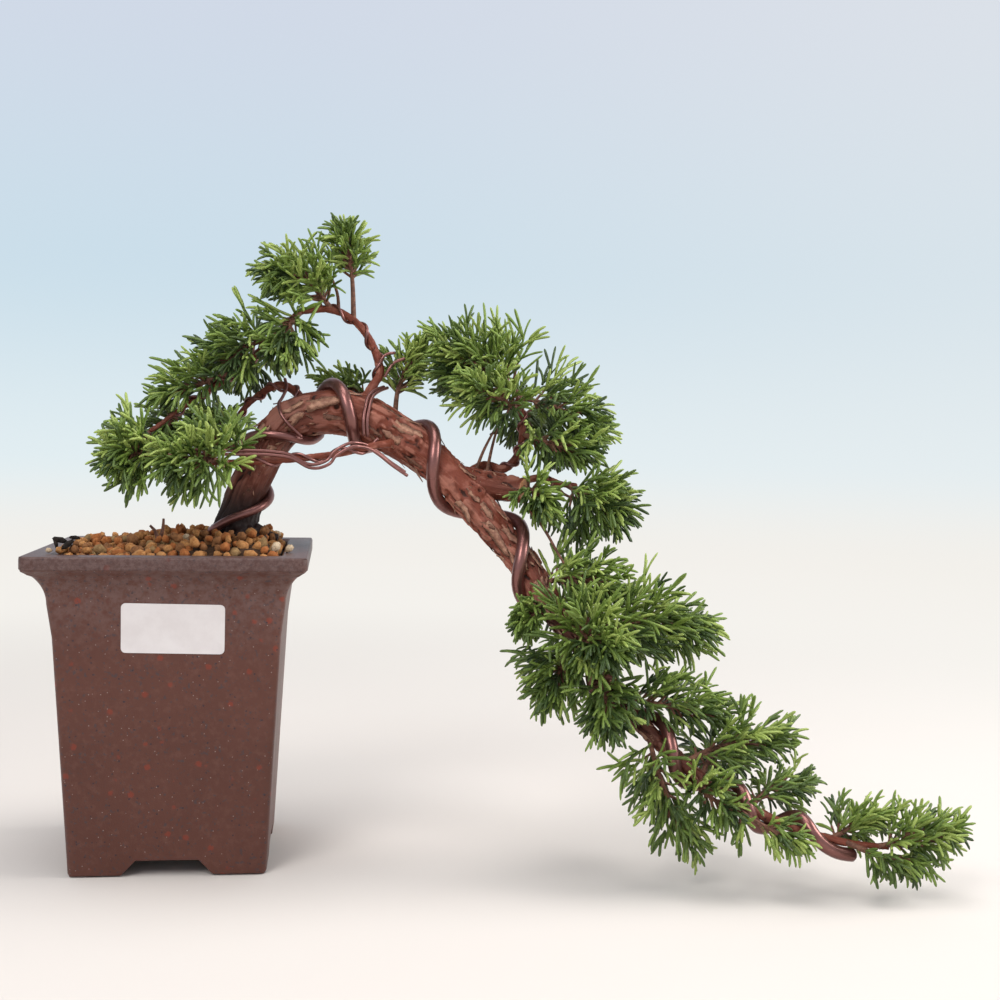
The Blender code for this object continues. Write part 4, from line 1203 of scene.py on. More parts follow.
def soil_grains():
    """Rows for the scatter: darts that found room, and the grains laid one by one."""
    chance = random.Random("soil grains")
    rows, taken = [], {}
    for attempt in range(GRAIN_TRIES):
        found = grain_spot(chance, attempt > LOWER_SHARE * GRAIN_TRIES, taken)
        if found is None:
            continue
        x, y, level, size = found
        way, side = any_way(chance), any_way(chance)
        squash = [size * chance.uniform(0.82, 1.12) for _ in range(3)]
        colour = chance.choices(range(5), (40, 30, 22, 6, 1))[0]
        rows.append(((x + POT_MIDDLE.x, y + POT_MIDDLE.y, level), way, side, squash,
                     chance.randrange(GRAIN_SHAPES), colour))
    for x, y, z, size, colour in LAID_GRAINS:
        way = any_way(chance)
        long = 1.7 if colour == HUMUS else 1.0
        squash = [size * MM * chance.uniform(0.7, 1.1) * part
                  for part in (1 / long, 1 / long, long)]
        rows.append((place(x, y, z), way, way.orthogonal(), squash,
                     chance.randrange(GRAIN_SHAPES), colour))
    return rows


# %% Mix the soil's colours and lay it
def grain_finish(name, low, high):
    grain = Finish(name, Specular_IOR_Level=0.2)
    crumb = grain.noise(1.6, detail=4, roughness=0.7)
    pit = grain.noise(0.45, detail=2)
    colour = grain.layered(low, (grain.between(crumb, 0.32, 0.68), high),
                           (grain.between(pit, 0.42, 0.28) * 0.5, (0.045, 0.022, 0.012)))
    grain.bump(crumb * 0.5 + pit * 0.5, 0.3)
    return grain.set(Base_Color=colour, Roughness=0.84 + pit * 0.12)


# The bed between and under the grains is painted dark brown, as the shade between them.
SHADED_SOIL = grain_finish("soil between the grains", (0.020, 0.011, 0.007), (0.075, 0.038, 0.020))
GRAIN_COLOURS = [grain_finish(*mix) for mix in (
    ("ochre grains", (0.30, 0.122, 0.038), (0.48, 0.235, 0.088)),
    ("rust grains", (0.26, 0.078, 0.022), (0.40, 0.150, 0.048)),
    ("brown grains", (0.16, 0.066, 0.025), (0.28, 0.125, 0.050)),
    ("olive grains", (0.19, 0.108, 0.045), (0.32, 0.195, 0.085)),
    ("beige grains", (0.42, 0.30, 0.19), (0.62, 0.48, 0.33)),
    ("black humus", (0.008, 0.006, 0.005), (0.030, 0.022, 0.018)),
)]
soil_bed = make_soil_bed(SHADED_SOIL)
grains = scatter("soil_grains", soil_grains(), [grain_shape(k) for k in range(GRAIN_SHAPES)],
                 GRAIN_COLOURS)
put_on(soil_bed, "soil", "soil")
put_on(grains, "soil", "soil")

# %% [markdown]
# ## Peeling strips
# Where juniper bark peels, dry strips lift at one end and curl off the trunk. A strip is a thin
# blade with ragged sides, bent along its length, whose edges curl up towards the loose end. A ray
# cast down on the bark finds where each end lies. Strips are scattered on the thick limbs, kept
# off the wires, and a few broad ones are laid where the bark comes away most.

# %% Make the strips
# Distance along the trunk, bearing round it, way it points, length, width and lift in millimetres.
BROAD_STRIPS = (
    (50, 10, -1, 9, 2.2, 3.6), (47, 40, -1, 8, 2.0, 2.8), (63, 66, 1, 13, 2.8, 1.2),
    (60, 5, -1, 7, 1.8, 2.2), (74, 20, 1, 9, 2.0, 1.0), (94, 24, 1, 16, 2.2, 1.6),
    (99, 60, 1, 14, 2.6, 0.9), (110, 12, 1, 9, 1.7, 1.6), (106, 96, -1, 10, 2.0, 0.9),
    (116, 150, 1, 9, 1.8, 2.0), (131, 30, 1, 9, 2.0, 1.4), (137, 12, 1, 8, 1.6, 1.8),
    (142, 128, 1, 12, 1.9, 4.2), (150, 80, 1, 9, 2.0, 0.9), (158, 110, 1, 18, 2.6, 0.8),
    (163, 60, 1, 15, 2.2, 0.9), (172, 95, 1, 14, 2.0, 1.0), (176, 30, 1, 12, 1.8, 1.2),
    (36, 60, 1, 12, 2.4, 1.0), (28, 95, 1, 13, 2.2, 1.0), (42, 100, -1, 10, 2.0, 1.2),
)
# Loose strips: limb, stretch of it in metres, how many, seed, least and most length in mm.
STRIP_STRETCHES = ((main_line, 0.040, 0.185, 40, "trunk", 5, 12),
                   (main_line, 0.012, 0.205, 60, "chips", 2, 5),
                   (main_line, 0.190, 0.290, 120, "cascade", 2.5, 8),
                   (boughs["stub"], 0.004, 0.026, 8, "stub", 2, 5))
STRIP_SHAPES = 5
STRIP_STEPS = 7
STRIP_CLEAR = 0.8 * MM    # from a strip to the nearest wire
RAY_START = 5 * MM


def add_sides(shape, rings):
    """Faces between rings of four corners each."""
    for low, high in zip(rings, rings[1:]):
        for k in range(4):
            shape.faces.new((low[k], low[(k + 1) % 4], high[(k + 1) % 4], high[k]))


def strip_shape(number):
    """A thin curled strip, one unit long, tucked in at its foot."""
    chance = random.Random(f"strip {number}")
    left, right = chance.uniform(0.0, 0.35), chance.uniform(0.0, 0.35)
    shape = bmesh.new()
    rings = []
    for k in range(STRIP_STEPS):
        share = k / (STRIP_STEPS - 1)
        width = (0.85 + 0.3 * chance.uniform(-1, 1)) * (1 - 0.7 * share**4)
        lift = -0.08 + share**2 + 0.06 * math.sin(7 * share + number)
        sway = 0.25 * math.sin(4 * share + number)
        ring = []
        for across, up in ((-1, left * share), (0, 0.07), (1, right * share), (0, -0.03)):
            ring.append(shape.verts.new((lift + up, sway + across * width, share)))
        rings.append(ring)
    add_sides(shape, rings)
    shape.faces.new(rings[0])
    shape.faces.new(rings[-1])
    return shape_mesh(f"strip {number}", shape)


# %% Lay the strips on the bark
def strip_rows(line, first, last, count, seed, shortest, longest):
    """Rows for the scatter: strips along a limb between two distances, clear of the wires."""
    chance = random.Random(seed)
    rows = []
    while len(rows) < count:
        distance, bearing = chance.uniform(first, last), chance.uniform(0, 360)
        long = chance.uniform(shortest, longest) * MM
        spot, out = on_bark(line, distance, bearing)
        tip, _ = on_bark(line, distance + long * chance.choice((1, -1)),
                         bearing + chance.uniform(-30, 30))
        if gap_each(np.array((spot, tip)), wire_solids).min() < STRIP_CLEAR:
            continue
        size = (long * chance.uniform(0.04, 0.24), long * chance.uniform(0.10, 0.24), long)
        rows.append((spot, (tip - spot).normalized(), out, size, chance.randrange(STRIP_SHAPES),
                     chance.choices((0, 1), (3, 2))[0]))
    return rows


def on_bark(line, distance, bearing):
    """The bark's surface at a distance along a limb and a bearing round it, and the way out."""
    row, heading = row_at(line, distance)
    heading = Vector(heading)
    turn = math.radians(bearing)
    outer = heading.cross(Vector((0, 1, 0))).normalized()
    out = outer * math.cos(turn) + heading.cross(outer) * math.sin(turn)
    start = Vector(row[:3]) + out * (row[3] + RAY_START)
    hit, spot, _, _ = wood.ray_cast(start, -out)
    return (spot if hit else Vector(row[:3]) + out * row[3]), out


def broad_rows():
    """Rows for the scatter: the broad strips, laid one by one."""
    for k, (distance, bearing, side, long, width, lift) in enumerate(BROAD_STRIPS):
        spot, out = on_bark(main_line, distance * MM, bearing)
        tip, _ = on_bark(main_line, (distance + long * side) * MM, bearing)
        size = (lift * MM, width * MM, (tip - spot).length)
        yield spot, (tip - spot).normalized(), out, size, k % STRIP_SHAPES, 0


def gap_each(points, solids):
    """Distance from each point to the nearest surface of some round-sided segments."""
    starts, ends, radii = solids
    along = ends - starts
    square = np.maximum((along**2).sum(axis=1), 1e-12)
    gaps = []
    for first in range(0, len(points), POINTS_AT_ONCE // 2):
        offset = points[first:first + POINTS_AT_ONCE // 2, None, :] - starts[None]
        share = np.clip((offset * along).sum(axis=2) / square, 0, 1)
        away = np.linalg.norm(offset - share[..., None] * along, axis=2)
        gaps.append((away - radii).min(axis=1))
    return np.concatenate(gaps)


def segments(*lines):
    """The segments of some lines, as starts, ends and radii."""
    starts = np.vstack([line[:-1, :3] for line in lines])
    ends = np.vstack([line[1:, :3] for line in lines])
    radii = np.concatenate([np.maximum(line[:-1, 3], line[1:, 3]) for line in lines])
    return starts, ends, radii


wire_solids = segments(base_wire, trunk_wire)
strips = list(broad_rows())
for stretch in STRIP_STRETCHES:
    strips += strip_rows(*stretch)
peels = scatter("peeling_strips", strips, [strip_shape(k) for k in range(STRIP_SHAPES)],
                [PEEL, TWIG_BARK])
put_on(peels, "bark")

# %% [markdown]
# ## Scale leaves
# This juniper has no needles: its leaves are tiny scales pressed round thin green cords, four
# ranks deep. Each cord is therefore a four-sided rod that swells and narrows, bent a little, and
# a spray is a fan of such cords. The greens are dealt out by spray: sprays that point down or back
# get darker greens, as painted shade, and those that point up lighter ones, as painted light.
# Outer cords are sometimes a green lighter, partly fresh growth at the tips and partly painted
# light.

# %% Shape the cords and mix the greens
CORD_RADIUS = 0.72        # millimetres
CORD_RINGS = ((0.0, 0.85), (0.22, 1.0), (0.42, 0.88), (0.66, 1.0), (0.90, 0.86), (0.97, 0.5))
CORD_BENDS = (-1.4, -4.4, 2.8)   # how far the tip of each shape of cord leans, in radii
CORD_CHANCES = (3, 5, 1)


def cord_shape(number):
    """A four-sided cord with a blunt tip, one unit long and one unit in radius."""
    bend = CORD_BENDS[number]
    shape = bmesh.new()
    rings = []
    for height, width in CORD_RINGS:
        spokes = [math.tau * k / 4 for k in (2, 3, 4, 5)]
        rings.append([shape.verts.new((math.cos(spoke) * width + bend * height**2,
                                       math.sin(spoke) * width, height)) for spoke in spokes])
    tip = shape.verts.new((bend, 0, 1))
    add_sides(shape, rings)
    for k in range(4):
        shape.faces.new((rings[-1][k], rings[-1][(k + 1) % 4], tip))
    shape.faces.new(rings[0])
    return shape_mesh(f"cord {number}", shape)


def leaf_finish(name, low, high):
    leaf = Finish(name, Specular_IOR_Level=0.42)
    drift = leaf.noise(5, detail=2)
    scale = leaf.between(leaf.cells(0.85), 0.15, 0.62)
    # darker towards each scale's edge: painted shade in the creases between the scales
    colour = leaf.layered(low, (leaf.between(drift, 0.34, 0.66), high),
                          (scale * 0.35, tuple(0.45 * value for value in low)))
    leaf.bump(1 - scale, 0.12)
    return leaf.set(Base_Color=colour, Roughness=0.38 + scale * 0.14)


# Four greens from shaded to lit: their spread stands partly for painted shade and painted light,
# and partly for fresh growth.
GREENS = [leaf_finish(*mix) for mix in (
    ("shaded leaves", (0.038, 0.070, 0.016), (0.064, 0.106, 0.023)),
    ("older leaves", (0.086, 0.138, 0.027), (0.130, 0.196, 0.037)),
    ("leaves", (0.170, 0.255, 0.044), (0.240, 0.336, 0.062)),
    ("fresh leaves", (0.310, 0.405, 0.084), (0.400, 0.490, 0.125)),
)]

# %% [markdown]
# ## How the foliage grows
# Each mass of foliage grows from one stem: sprays leave it by the golden angle, wide open at its
# foot and forward at its tip, and shorter towards the tip. A spray is drawn back, or left out,
# where it would meet wood or wire, and a mass keeps to the space nearest to its own stem. The
# same rule shapes the plain solids. Here it is carried on: every spray is an axis with side
# branches to left and right, and each of them carries cords of its own.

# %% Name the masses
STEM_RADIUS = 1.3
STEM_TIP_RADIUS = 0.7
TIP_SHORTER = 0.35        # how much shorter the last spray of a stem is than the first
SPRAY_OPEN = (math.radians(66), math.radians(14))   # lean off the stem, at its foot and tip
SPRAY_TILT = (0.35, 1.35)  # least and most turn of a spray out of level, in radians
SPACE_SHARE = 1.3         # how far a mass may lean into the space nearer to another stem
GOLDEN_TURN = math.radians(137.5)
SPRAYS_FOR_ONE = 6        # sprays here for each spray of the plain solid
SEED = 11
CORD_GAP = 3.7 * MM       # distance between side branches along a spray

# Region: mass: bends of its stem, reach of its sprays in millimetres, how many sprays the plain
# solid has, and the bare share of the stem.
REGIONS = {
    "crown": {
        "crown_top": (((73, 8, 227), (72, 8, 247), (69, 6, 263)), 19, 5, 0.50),
        "crown_crest": (((64, 8, 232), (57, 6, 240), (52, 4, 245), (46, 2, 246)), 26, 6, 0.10),
        "crown_inner": (((50, 8, 231), (46, 1, 225), (43, -4, 217)), 24, 5, 0.15),
        "crown_middle": (((38, 6, 219), (31, 4, 217), (24, 3, 212), (18, 2, 207)), 24, 6, 0.12),
        "crown_left": (((22, 4, 204), (13, 1, 201), (4, -1, 197), (-2, -2, 194)), 21, 5, 0.10),
        "crown_back": (((33, 5, 214), (28, 18, 212), (21, 27, 208)), 23, 4, 0.20),
    },
    "left": {
        "far_left": (((-12, -4, 178), (-16, -6, 175), (-19, -8, 172)), 18, 5, 0.05),
        "far_left_back": (((-2, -2, 186), (-5, 8, 184), (-7, 16, 180)), 18, 4, 0.20),
        "low_tip": (((-8, -34, 170), (-12, -37, 170), (-16, -40, 169)), 21, 5, 0.05),
        "low_front": (((22, -31, 167), (15, -39, 168), (5, -45, 167)), 23, 6, 0.10),
        "low_upper": (((30, -28, 167), (24, -28, 173), (14, -28, 176)), 20, 5, 0.20),
        "arch_left": (((21, 12, 181), (16, 15, 184), (9, 17, 184)), 16, 4, 0.10),
    },
    "shoulder": {
        "arch_tuft": (((82, 8, 188), (77, 17, 197), (66, 18, 200)), 14, 3, 0.40),
        "arch_right": (((91, 8, 182), (93, 13, 200), (100, 13, 212)), 19, 5, 0.45),
        "right_top": (((145, 8, 198), (134, 7, 206), (120, 5, 212)), 28, 7, 0.08),
        "right_front": (((146, 7, 190), (136, -7, 195), (126, -12, 199)), 20, 5, 0.20),
        "right_far": (((146, 8, 196), (155, 7, 194), (166, 5, 190), (175, 3, 184)), 24, 6, 0.12),
    },
    "right": {
        "right_side": (((147, 8, 180), (156, -1, 177), (167, -6, 173)), 24, 5, 0.15),
        "right_back": (((147, 8, 188), (149, 22, 188), (153, 32, 185)), 22, 4, 0.25),
        "stub_front": (((146, -9, 157), (149, -16, 156), (152, -21, 152)), 18, 5, 0.10),
        "right_low": (((166, -5, 158), (172, -8, 154), (180, -10, 149)), 26, 6, 0.05),
    },
    "cascade": {
        "cascade_top": (
            ((152, -22, 116), (163, -24, 120), (174, -26, 118), (183, -28, 113)), 22, 6, 0.12),
        "cascade_right": (
            ((164, -32, 98), (180, -32, 102), (197, -33, 103), (212, -34, 100)), 28, 7, 0.12),
        "cascade_back": (((159, -28, 104), (167, -9, 105), (176, 3, 104)), 25, 4, 0.25),
        "cascade_front": (((166, -33, 95), (168, -49, 98), (172, -60, 96)), 26, 7, 0.15),
        "cascade_left": (((153, -24, 113), (149, -34, 107), (146, -38, 104)), 14, 4, 0.20),
    },
    "fall": {
        "cascade_under": (((166, -33, 95), (161, -36, 87), (157, -40, 77)), 24, 5, 0.15),
        "cascade_inner": (((176, -40, 82), (175, -52, 78), (176, -59, 70)), 23, 5, 0.15),
        "fall_right": (((184, -44, 72), (200, -48, 70), (218, -51, 66)), 23, 6, 0.12),
        "fall_hanging": (
            ((193, -50, 61), (196, -60, 46), (201, -65, 32), (206, -67, 23)), 23, 6, 0.15),
        "fall_front": (((209, -58, 46), (213, -70, 39), (221, -76, 34)), 19, 5, 0.20),
        "fall_side": (((207, -57, 48), (223, -54, 54), (241, -55, 56)), 24, 5, 0.15),
        "fall_back": (((214, -60, 43), (222, -43, 47), (230, -31, 46)), 22, 4, 0.20),
    },
    "tip": {
        "low_right": (((226, -65, 35), (232, -77, 29), (243, -84, 24)), 18, 5, 0.20),
        "low_over": (((232, -68, 32), (242, -61, 38), (253, -57, 39)), 18, 4, 0.15),
        "tip_upper": (((262, -78, 21.5), (270, -76, 25), (280, -77, 28)), 16, 5, 0.10),
        "tip": (((280, -83, 20), (292, -86, 23), (304, -87, 26)), 19, 6, 0.05),
        "tip_under": (((268, -80, 21), (280, -87, 17), (291, -90, 16)), 13, 4, 0.20),
    },
}
REGIONS = {region: {"foliage_" + name: mass for name, mass in masses.items()}
           for region, masses in REGIONS.items()}
MASSES = {name: mass for masses in REGIONS.values() for name, mass in masses.items()}
SPRAYS = sum(mass[2] for mass in MASSES.values()) * SPRAYS_FOR_ONE
print(len(MASSES), "masses of foliage,", SPRAYS, "sprays")

# %% Grow the sprays
LOWEST = 2.5 * MM         # foliage stays this far above the shelf that the pot stands on
LOW_WIRE = 222            # past here the foliage in front of the thick wire is combed away from it
SIGHT_STEPS = (3, 6)      # millimetres in front of the wire
SIGHT_THINNER = 1.4 * MM
STEM_SLIDES = (0, 1.5, -1.5, 3, -3, 4.5, -4.5, 6, -6, 8, -8, 10, -10)   # millimetres to try
SLIDE_SHARES = (1.0, 0.4, 0.0, 0.0)   # how much of a slide each bend of a stem takes
SHRINKS = (1.0, 0.85, 0.7, 0.55)      # lengths to try for a spray, as shares of its full one
SPRAY_CLEAR = 1.2 * MM
CORD_CLEAR = 0.9 * MM
TIP_CLEAR = 2 * MM        # from a spray's tip down to the lowest place for foliage
AXIS_STEP = 5 * MM
BARE_SHARE = 0.25         # of a spray's axis, from its foot
BARE_RADII = (0.62 * MM, 0.52 * MM)
BRANCH_OPEN = (18, 36)    # degrees off the axis
BRANCH_REACH = (9 * MM, 18 * MM)
SIDE_OPEN = (15, 30)      # degrees off the branch
SIDE_PLACES = (0.14, 0.34)
SIDE_MISSING = 0.35       # share of the side cords that are left out
SIDE_SHORTEST = 5.5 * MM
# Sprays that point down get the darker greens and those that point up the lighter ones: painted
# shade and painted light.
SHADED_UNDER_GREENS = ((0, 1, 2), (3, 5, 3))     # colours' numbers and their chances
LIT_UPPER_GREENS = ((1, 2, 3), (4, 5, 2))
# A spray that points back by more than this is one green darker: painted shade.
AWAY_IN_SHADE = 0.35               # a spray that points back by more than this is a shade darker


def clear_stem(controls, solids, carriers):
    """A mass's stem, its foot slid along the limb until the stem misses the wires."""
    foot = place(*controls[0])
    nearest = min(carriers, key=lambda line: gap_each(foot[None], segments(line))[0])
    away = np.linalg.norm(nearest[:, :3] - foot, axis=1).argmin()
    _, heading = row_at(nearest, lengths(nearest)[away])
    for slide in STEM_SLIDES:
        moved = [(*(np.array(c) + heading * slide * share), STEM_RADIUS)
                 for c, share in zip(controls, SLIDE_SHARES)]
        line = smooth_line(moved, 3 * MM)
        line[:, 3] = np.linspace(STEM_RADIUS, STEM_TIP_RADIUS, len(line)) * MM
        run = np.linspace(4 * MM, lengths(line)[-1], 30)
        points = np.array([row_at(line, distance)[0][:3] for distance in run])
        if gap_each(points, solids).min() > STEM_RADIUS * MM:
            break
    return line


# %% [markdown]
# ## A crown that knows its room
# Twigs of a living tree turn away from wood and from each other. The crown keeps every stem, the
# space round it and all cords grown so far, so that a new spray can be tried, drawn back, and kept
# only where it misses wood and wire and stays in its own mass's space.

# %% Let the crown grow
class Crown:
    """The foliage while it grows: cords with their parents, and bare twigs."""

    def __init__(self, stems, solids):
        self.stems = stems
        self.solids = solids
        self.cords = {name: [] for name in stems}
        self.twigs = []

    def inside(self, points, mass):
        """For each point, True where it keeps to its mass's space."""
        own_stem, own_reach = self.stems[mass]
        own = self.share_of_reach(points, own_stem, own_reach)
        kept = np.ones(len(points), bool)
        for name, (stem, reach) in self.stems.items():
            if name != mass:
                kept &= own <= SPACE_SHARE * self.share_of_reach(points, stem, reach)
        return kept

    def share_of_reach(self, points, stem, reach):
        """Distance from points to a mass's stem, as a share of the mass's reach."""
        starts, ends, radii = segments(stem)
        return gap_each(points, (starts, ends, 0 * radii)) / reach

    def grow_spray(self, name, number, count, bare, chance):
        """Adds one spray to a mass, drawn back until its axis is clear."""
        stem, reach = self.stems[name]
        share = bare + (1 - bare) * (number + 1) / count
        row, heading = row_at(stem, share * lengths(stem)[-1] * 0.999)
        heading = Vector(heading)
        side = heading.orthogonal().normalized()
        side.rotate(Matrix.Rotation(GOLDEN_TURN * number + chance.uniform(-0.3, 0.3), 3, heading))
        lean = SPRAY_OPEN[0] + (SPRAY_OPEN[1] - SPRAY_OPEN[0]) * share**2
        out = (heading * math.cos(lean) + side * math.sin(lean)).normalized()
        length = reach * (1 - TIP_SHORTER * share) * chance.uniform(0.86, 1.04)
        flat = out.cross(Vector((0, 0, 1)))
        flat = (flat if flat.length > 0.2 else out.orthogonal()).normalized()
        tilt = chance.uniform(*SPRAY_TILT) * chance.choice((1, -1))
        flat.rotate(Matrix.Rotation(tilt, 3, out))
        foot = row[:3]
        for shrink in SHRINKS:
            tip = foot + np.array(out) * length * shrink
            points = foot + (tip - foot) * np.linspace(0.15, 1.0, 7)[:, None]
            clear = gap_each(points, self.solids).min() > SPRAY_CLEAR
            if clear and self.inside(points, name).all() and tip[2] > LOWEST + TIP_CLEAR:
                self.fan(name, Vector(foot), out, flat, length * shrink, chance)
                return

    def cord(self, name, foot, reach, thick, colour, parent, chance):
        """Adds one cord along a vector, and gives back its number."""
        curl = Vector((chance.uniform(-0.5, 0.5), chance.uniform(-0.5, 0.5), 1.0))
        shape = chance.choices(range(len(CORD_BENDS)), CORD_CHANCES)[0]
        self.cords[name].append((foot, reach, curl, thick, shape, colour, parent))
        return len(self.cords[name]) - 1

    def fan(self, name, foot, out, flat, length, chance):
        """A spray: an axis that turns up a little, with side branches that carry cords."""
        thin = out.cross(flat).normalized()
        lift = Vector((0, 0, 1)) * length * chance.uniform(0.02, 0.20)
        # painted shade and light: a spray pointing down gets a darker green, one pointing up a
        # lighter one, and one pointing back is a green darker still
        colour = chance.choices(*(SHADED_UNDER_GREENS if out.z < 0.1 else LIT_UPPER_GREENS))[0]
        colour -= colour > 0 and out.y > AWAY_IN_SHADE

        def axis(share):
            return foot + out * length * share + lift * share * share

        def leaning(way, hand, opened, spread):
            """A way that leaves another to one side, in the spray's plane or nearly so."""
            turn = math.radians(chance.uniform(*opened))
            return (way * math.cos(turn) + flat * hand * math.sin(turn)
                    + thin * chance.uniform(-spread, spread)).normalized()

        steps = max(3, round(length / AXIS_STEP))
        parents = []
        for step in range(steps):
            start, end = axis(step / steps), axis((step + 1) / steps)
            if step / steps < BARE_SHARE:
                self.twigs.append((start, end, *BARE_RADII))
                parents.append(-1)
            else:
                last = parents[-1] if parents else -1
                parents.append(self.cord(name, start, (end - start) * 1.12, 0.86 - 0.06 * step,
                                         colour, last, chance))
        count = max(3, round(length * 0.8 / CORD_GAP))
        for number in range(count):
            share = 0.12 + 0.76 * (number + chance.uniform(-0.2, 0.2)) / count
            hand = 1 if number % 2 else -1
            way = leaning((axis(share + 0.05) - axis(share)).normalized(), hand, BRANCH_OPEN, 0.3)
            reach = length * (0.50 + 0.28 * (1 - share)) * chance.uniform(0.75, 1.2)
            reach = min(BRANCH_REACH[1], max(BRANCH_REACH[0], reach))
            parent = parents[min(steps - 1, int(share * steps))]
            # a branch, and then each side cord, is sometimes a green lighter: partly fresh growth,
            # partly painted light on the outer cords
            tone = min(3, colour + (chance.random() < 0.35))
            branch = self.cord(name, axis(share), way * reach, 0.98, tone, parent, chance)
            for where, side in zip(SIDE_PLACES, (hand, -hand)):
                if chance.random() < SIDE_MISSING:
                    continue
                side_way = leaning(way, side, SIDE_OPEN, 0.35)
                side_reach = max(SIDE_SHORTEST, reach * (0.84 - 0.60 * where))
                side_reach *= chance.uniform(0.75, 1.15)
                side_tone = min(3, tone + (chance.random() < 0.25))
                self.cord(name, axis(share) + way * reach * where, side_way * side_reach, 0.92,
                          side_tone, branch, chance)

    def kept_cords(self, name, low, high):
        """Rows for the scatter: the cords that keep clear of wood, wire and other masses."""
        cords = self.cords[name]
        feet = np.array([cord[0] for cord in cords])
        reaches = np.array([cord[1] for cord in cords])
        keep = np.ones(len(cords), bool)
        for share in (0.35, 0.7, 1.0):
            points = feet + reaches * share
            keep &= gap_each(points, self.solids) > CORD_CLEAR
            keep &= self.inside(points, name)
            keep &= (points > low).all(axis=1) & (points < high).all(axis=1)
        rows = []
        for number, (foot, reach, curl, thick, shape, colour, parent) in enumerate(cords):
            keep[number] &= parent < 0 or keep[parent]
            if keep[number]:
                size = (thick * CORD_RADIUS * MM, thick * CORD_RADIUS * MM, reach.length)
                rows.append((foot, reach.normalized(), curl, size, shape, colour))
        return rows


# %% Grow all masses
def in_sight(row):
    """Whether a point of the thick wire is on the low front of the cascade."""
    limb = main_line[np.abs(main_line[:, 0] - row[0]).argmin()]
    return row[0] > place(LOW_WIRE, 0, 0)[0] and row[1] < limb[1]


growing = [main_line, *boughs.values()]
seen_wire = [np.array(pair) - (0, step * MM, 0, SIGHT_THINNER)
             for pair in zip(trunk_wire, trunk_wire[1:]) if in_sight(pair[0])
             for step in SIGHT_STEPS]
tree_solids = segments(*growing, base_wire, trunk_wire, *seen_wire)
stems = {name: (clear_stem(mass[0], wire_solids, growing), mass[1] * MM)
         for name, mass in MASSES.items()}
crown = Crown(stems, tree_solids)
for name, (_, _, sprays, bare) in MASSES.items():
    chance = random.Random(f"{SEED} {name}")
    for number in range(sprays * SPRAYS_FOR_ONE):
        crown.grow_spray(name, number, sprays * SPRAYS_FOR_ONE, bare, chance)
reach_low = np.array((CAD_BOX[0].x, CAD_BOX[0].y, LOWEST))
reach_high = np.array(CAD_BOX[1])
print(sum(len(rows) for rows in crown.cords.values()), "cords grown")

# %% [markdown]
# ## Leaves and twigs as pieces
# The cords of neighbouring masses are scattered as one piece, and keep four plain greens. The
# bare twigs inside are round, tapering sticks of red-brown wood: the stems of the masses, the
# inner part of each spray, and the longer bare twigs that carry the outer tufts.

# %% Make the leaf pieces
for region, masses in REGIONS.items():
    rows = [row for name in masses for row in crown.kept_cords(name, reach_low, reach_high)]
    cord_shapes = [cord_shape(k) for k in range(len(CORD_BENDS))]
    leaves = scatter(f"leaves_{region}", rows, cord_shapes, GREENS)
    put_on(leaves, "foliage", *masses)

# %% Make the twigs
TWIG_RADII = (0.85, 0.5)  # of a bare twig, at its foot and tip, in millimetres
BARE_TWIGS = (
    ((66.5, 8, 232), (65.6, 8, 240), (61.5, 6, 250)), ((59.2, 8, 232), (57, 8, 240), (53, 7, 245)),
    ((126.5, 2, 164), (130.3, 2, 173.6), (136.3, 3, 185)),
    ((131.4, 2, 163.5), (133.6, 4, 173.6), (136.6, 5, 185.1)),
    ((147.1, -14, 150), (149, -19, 146), (152, -22, 142.4), (155.2, -23.5, 137.2),
     (158, -24, 132.3), (161.6, -26, 126)),
    ((156.7, -2, 160), (162.9, -5, 155.6), (166, -6, 153.4), (177.5, -8, 151)),
    ((-6, -19, 132), (-4.5, -20, 139), (-4.2, -20.3, 143)),
    ((-6, -19, 132), (-8, -18, 138), (-10, -18, 140)),
)


def stick(start, end, foot_radius, tip_radius):
    """A short tapering line of three rows."""
    middle = (*((start + end) / 2), (foot_radius + tip_radius) / 2)
    return np.array([(*start, foot_radius), middle, (*end, tip_radius)])


sticks = [stick(*twig) for twig in crown.twigs]
thicker = [line for line, _ in stems.values()]
for controls in BARE_TWIGS:
    radii = np.linspace(*TWIG_RADII, len(controls))
    thicker.append(smooth_line([(*c, radius) for c, radius in zip(controls, radii)], 2 * MM))
twigs = joined("twigs", [rods("twigs", sticks, 0, MM), rods("twigs", thicker, 1, MM)])
twigs.data.materials.append(TWIG_BARK)
shade_smooth(twigs.data, 60)
put_on(twigs, "bark")

# %% [markdown]
# ## A blank ticket
# A seller's ticket was stuck to the pot's front. A blank one is put there: white paper with
# rounded corners, a little proud of the clay, following the slight lean of the wall.

# %% Make the ticket
TICKET_MIDDLE = (2.6, 100.9)      # across and up, in millimetres
TICKET_SIZE = (40.4, 20.0)
TICKET_TURN = math.radians(-1.0)
TICKET_CORNER = 1.8
PAPER_THICK = 0.16 * MM
PAPER_LIFT = 0.05         # millimetres off the clay
PAPER_CELLS = (32, 18)


def wall_half_width(height):
    """Half the pot's width at a height on its wall, from the profile."""
    wall = sorted((z, width) for width, z in pot_profile()
                  if width > BASE_WIDTH / 2 - MM and EDGE_ROUND <= z < POT_HEIGHT - RIM_BAND)
    return float(np.interp(height, [z for z, _ in wall], [width for _, width in wall]))


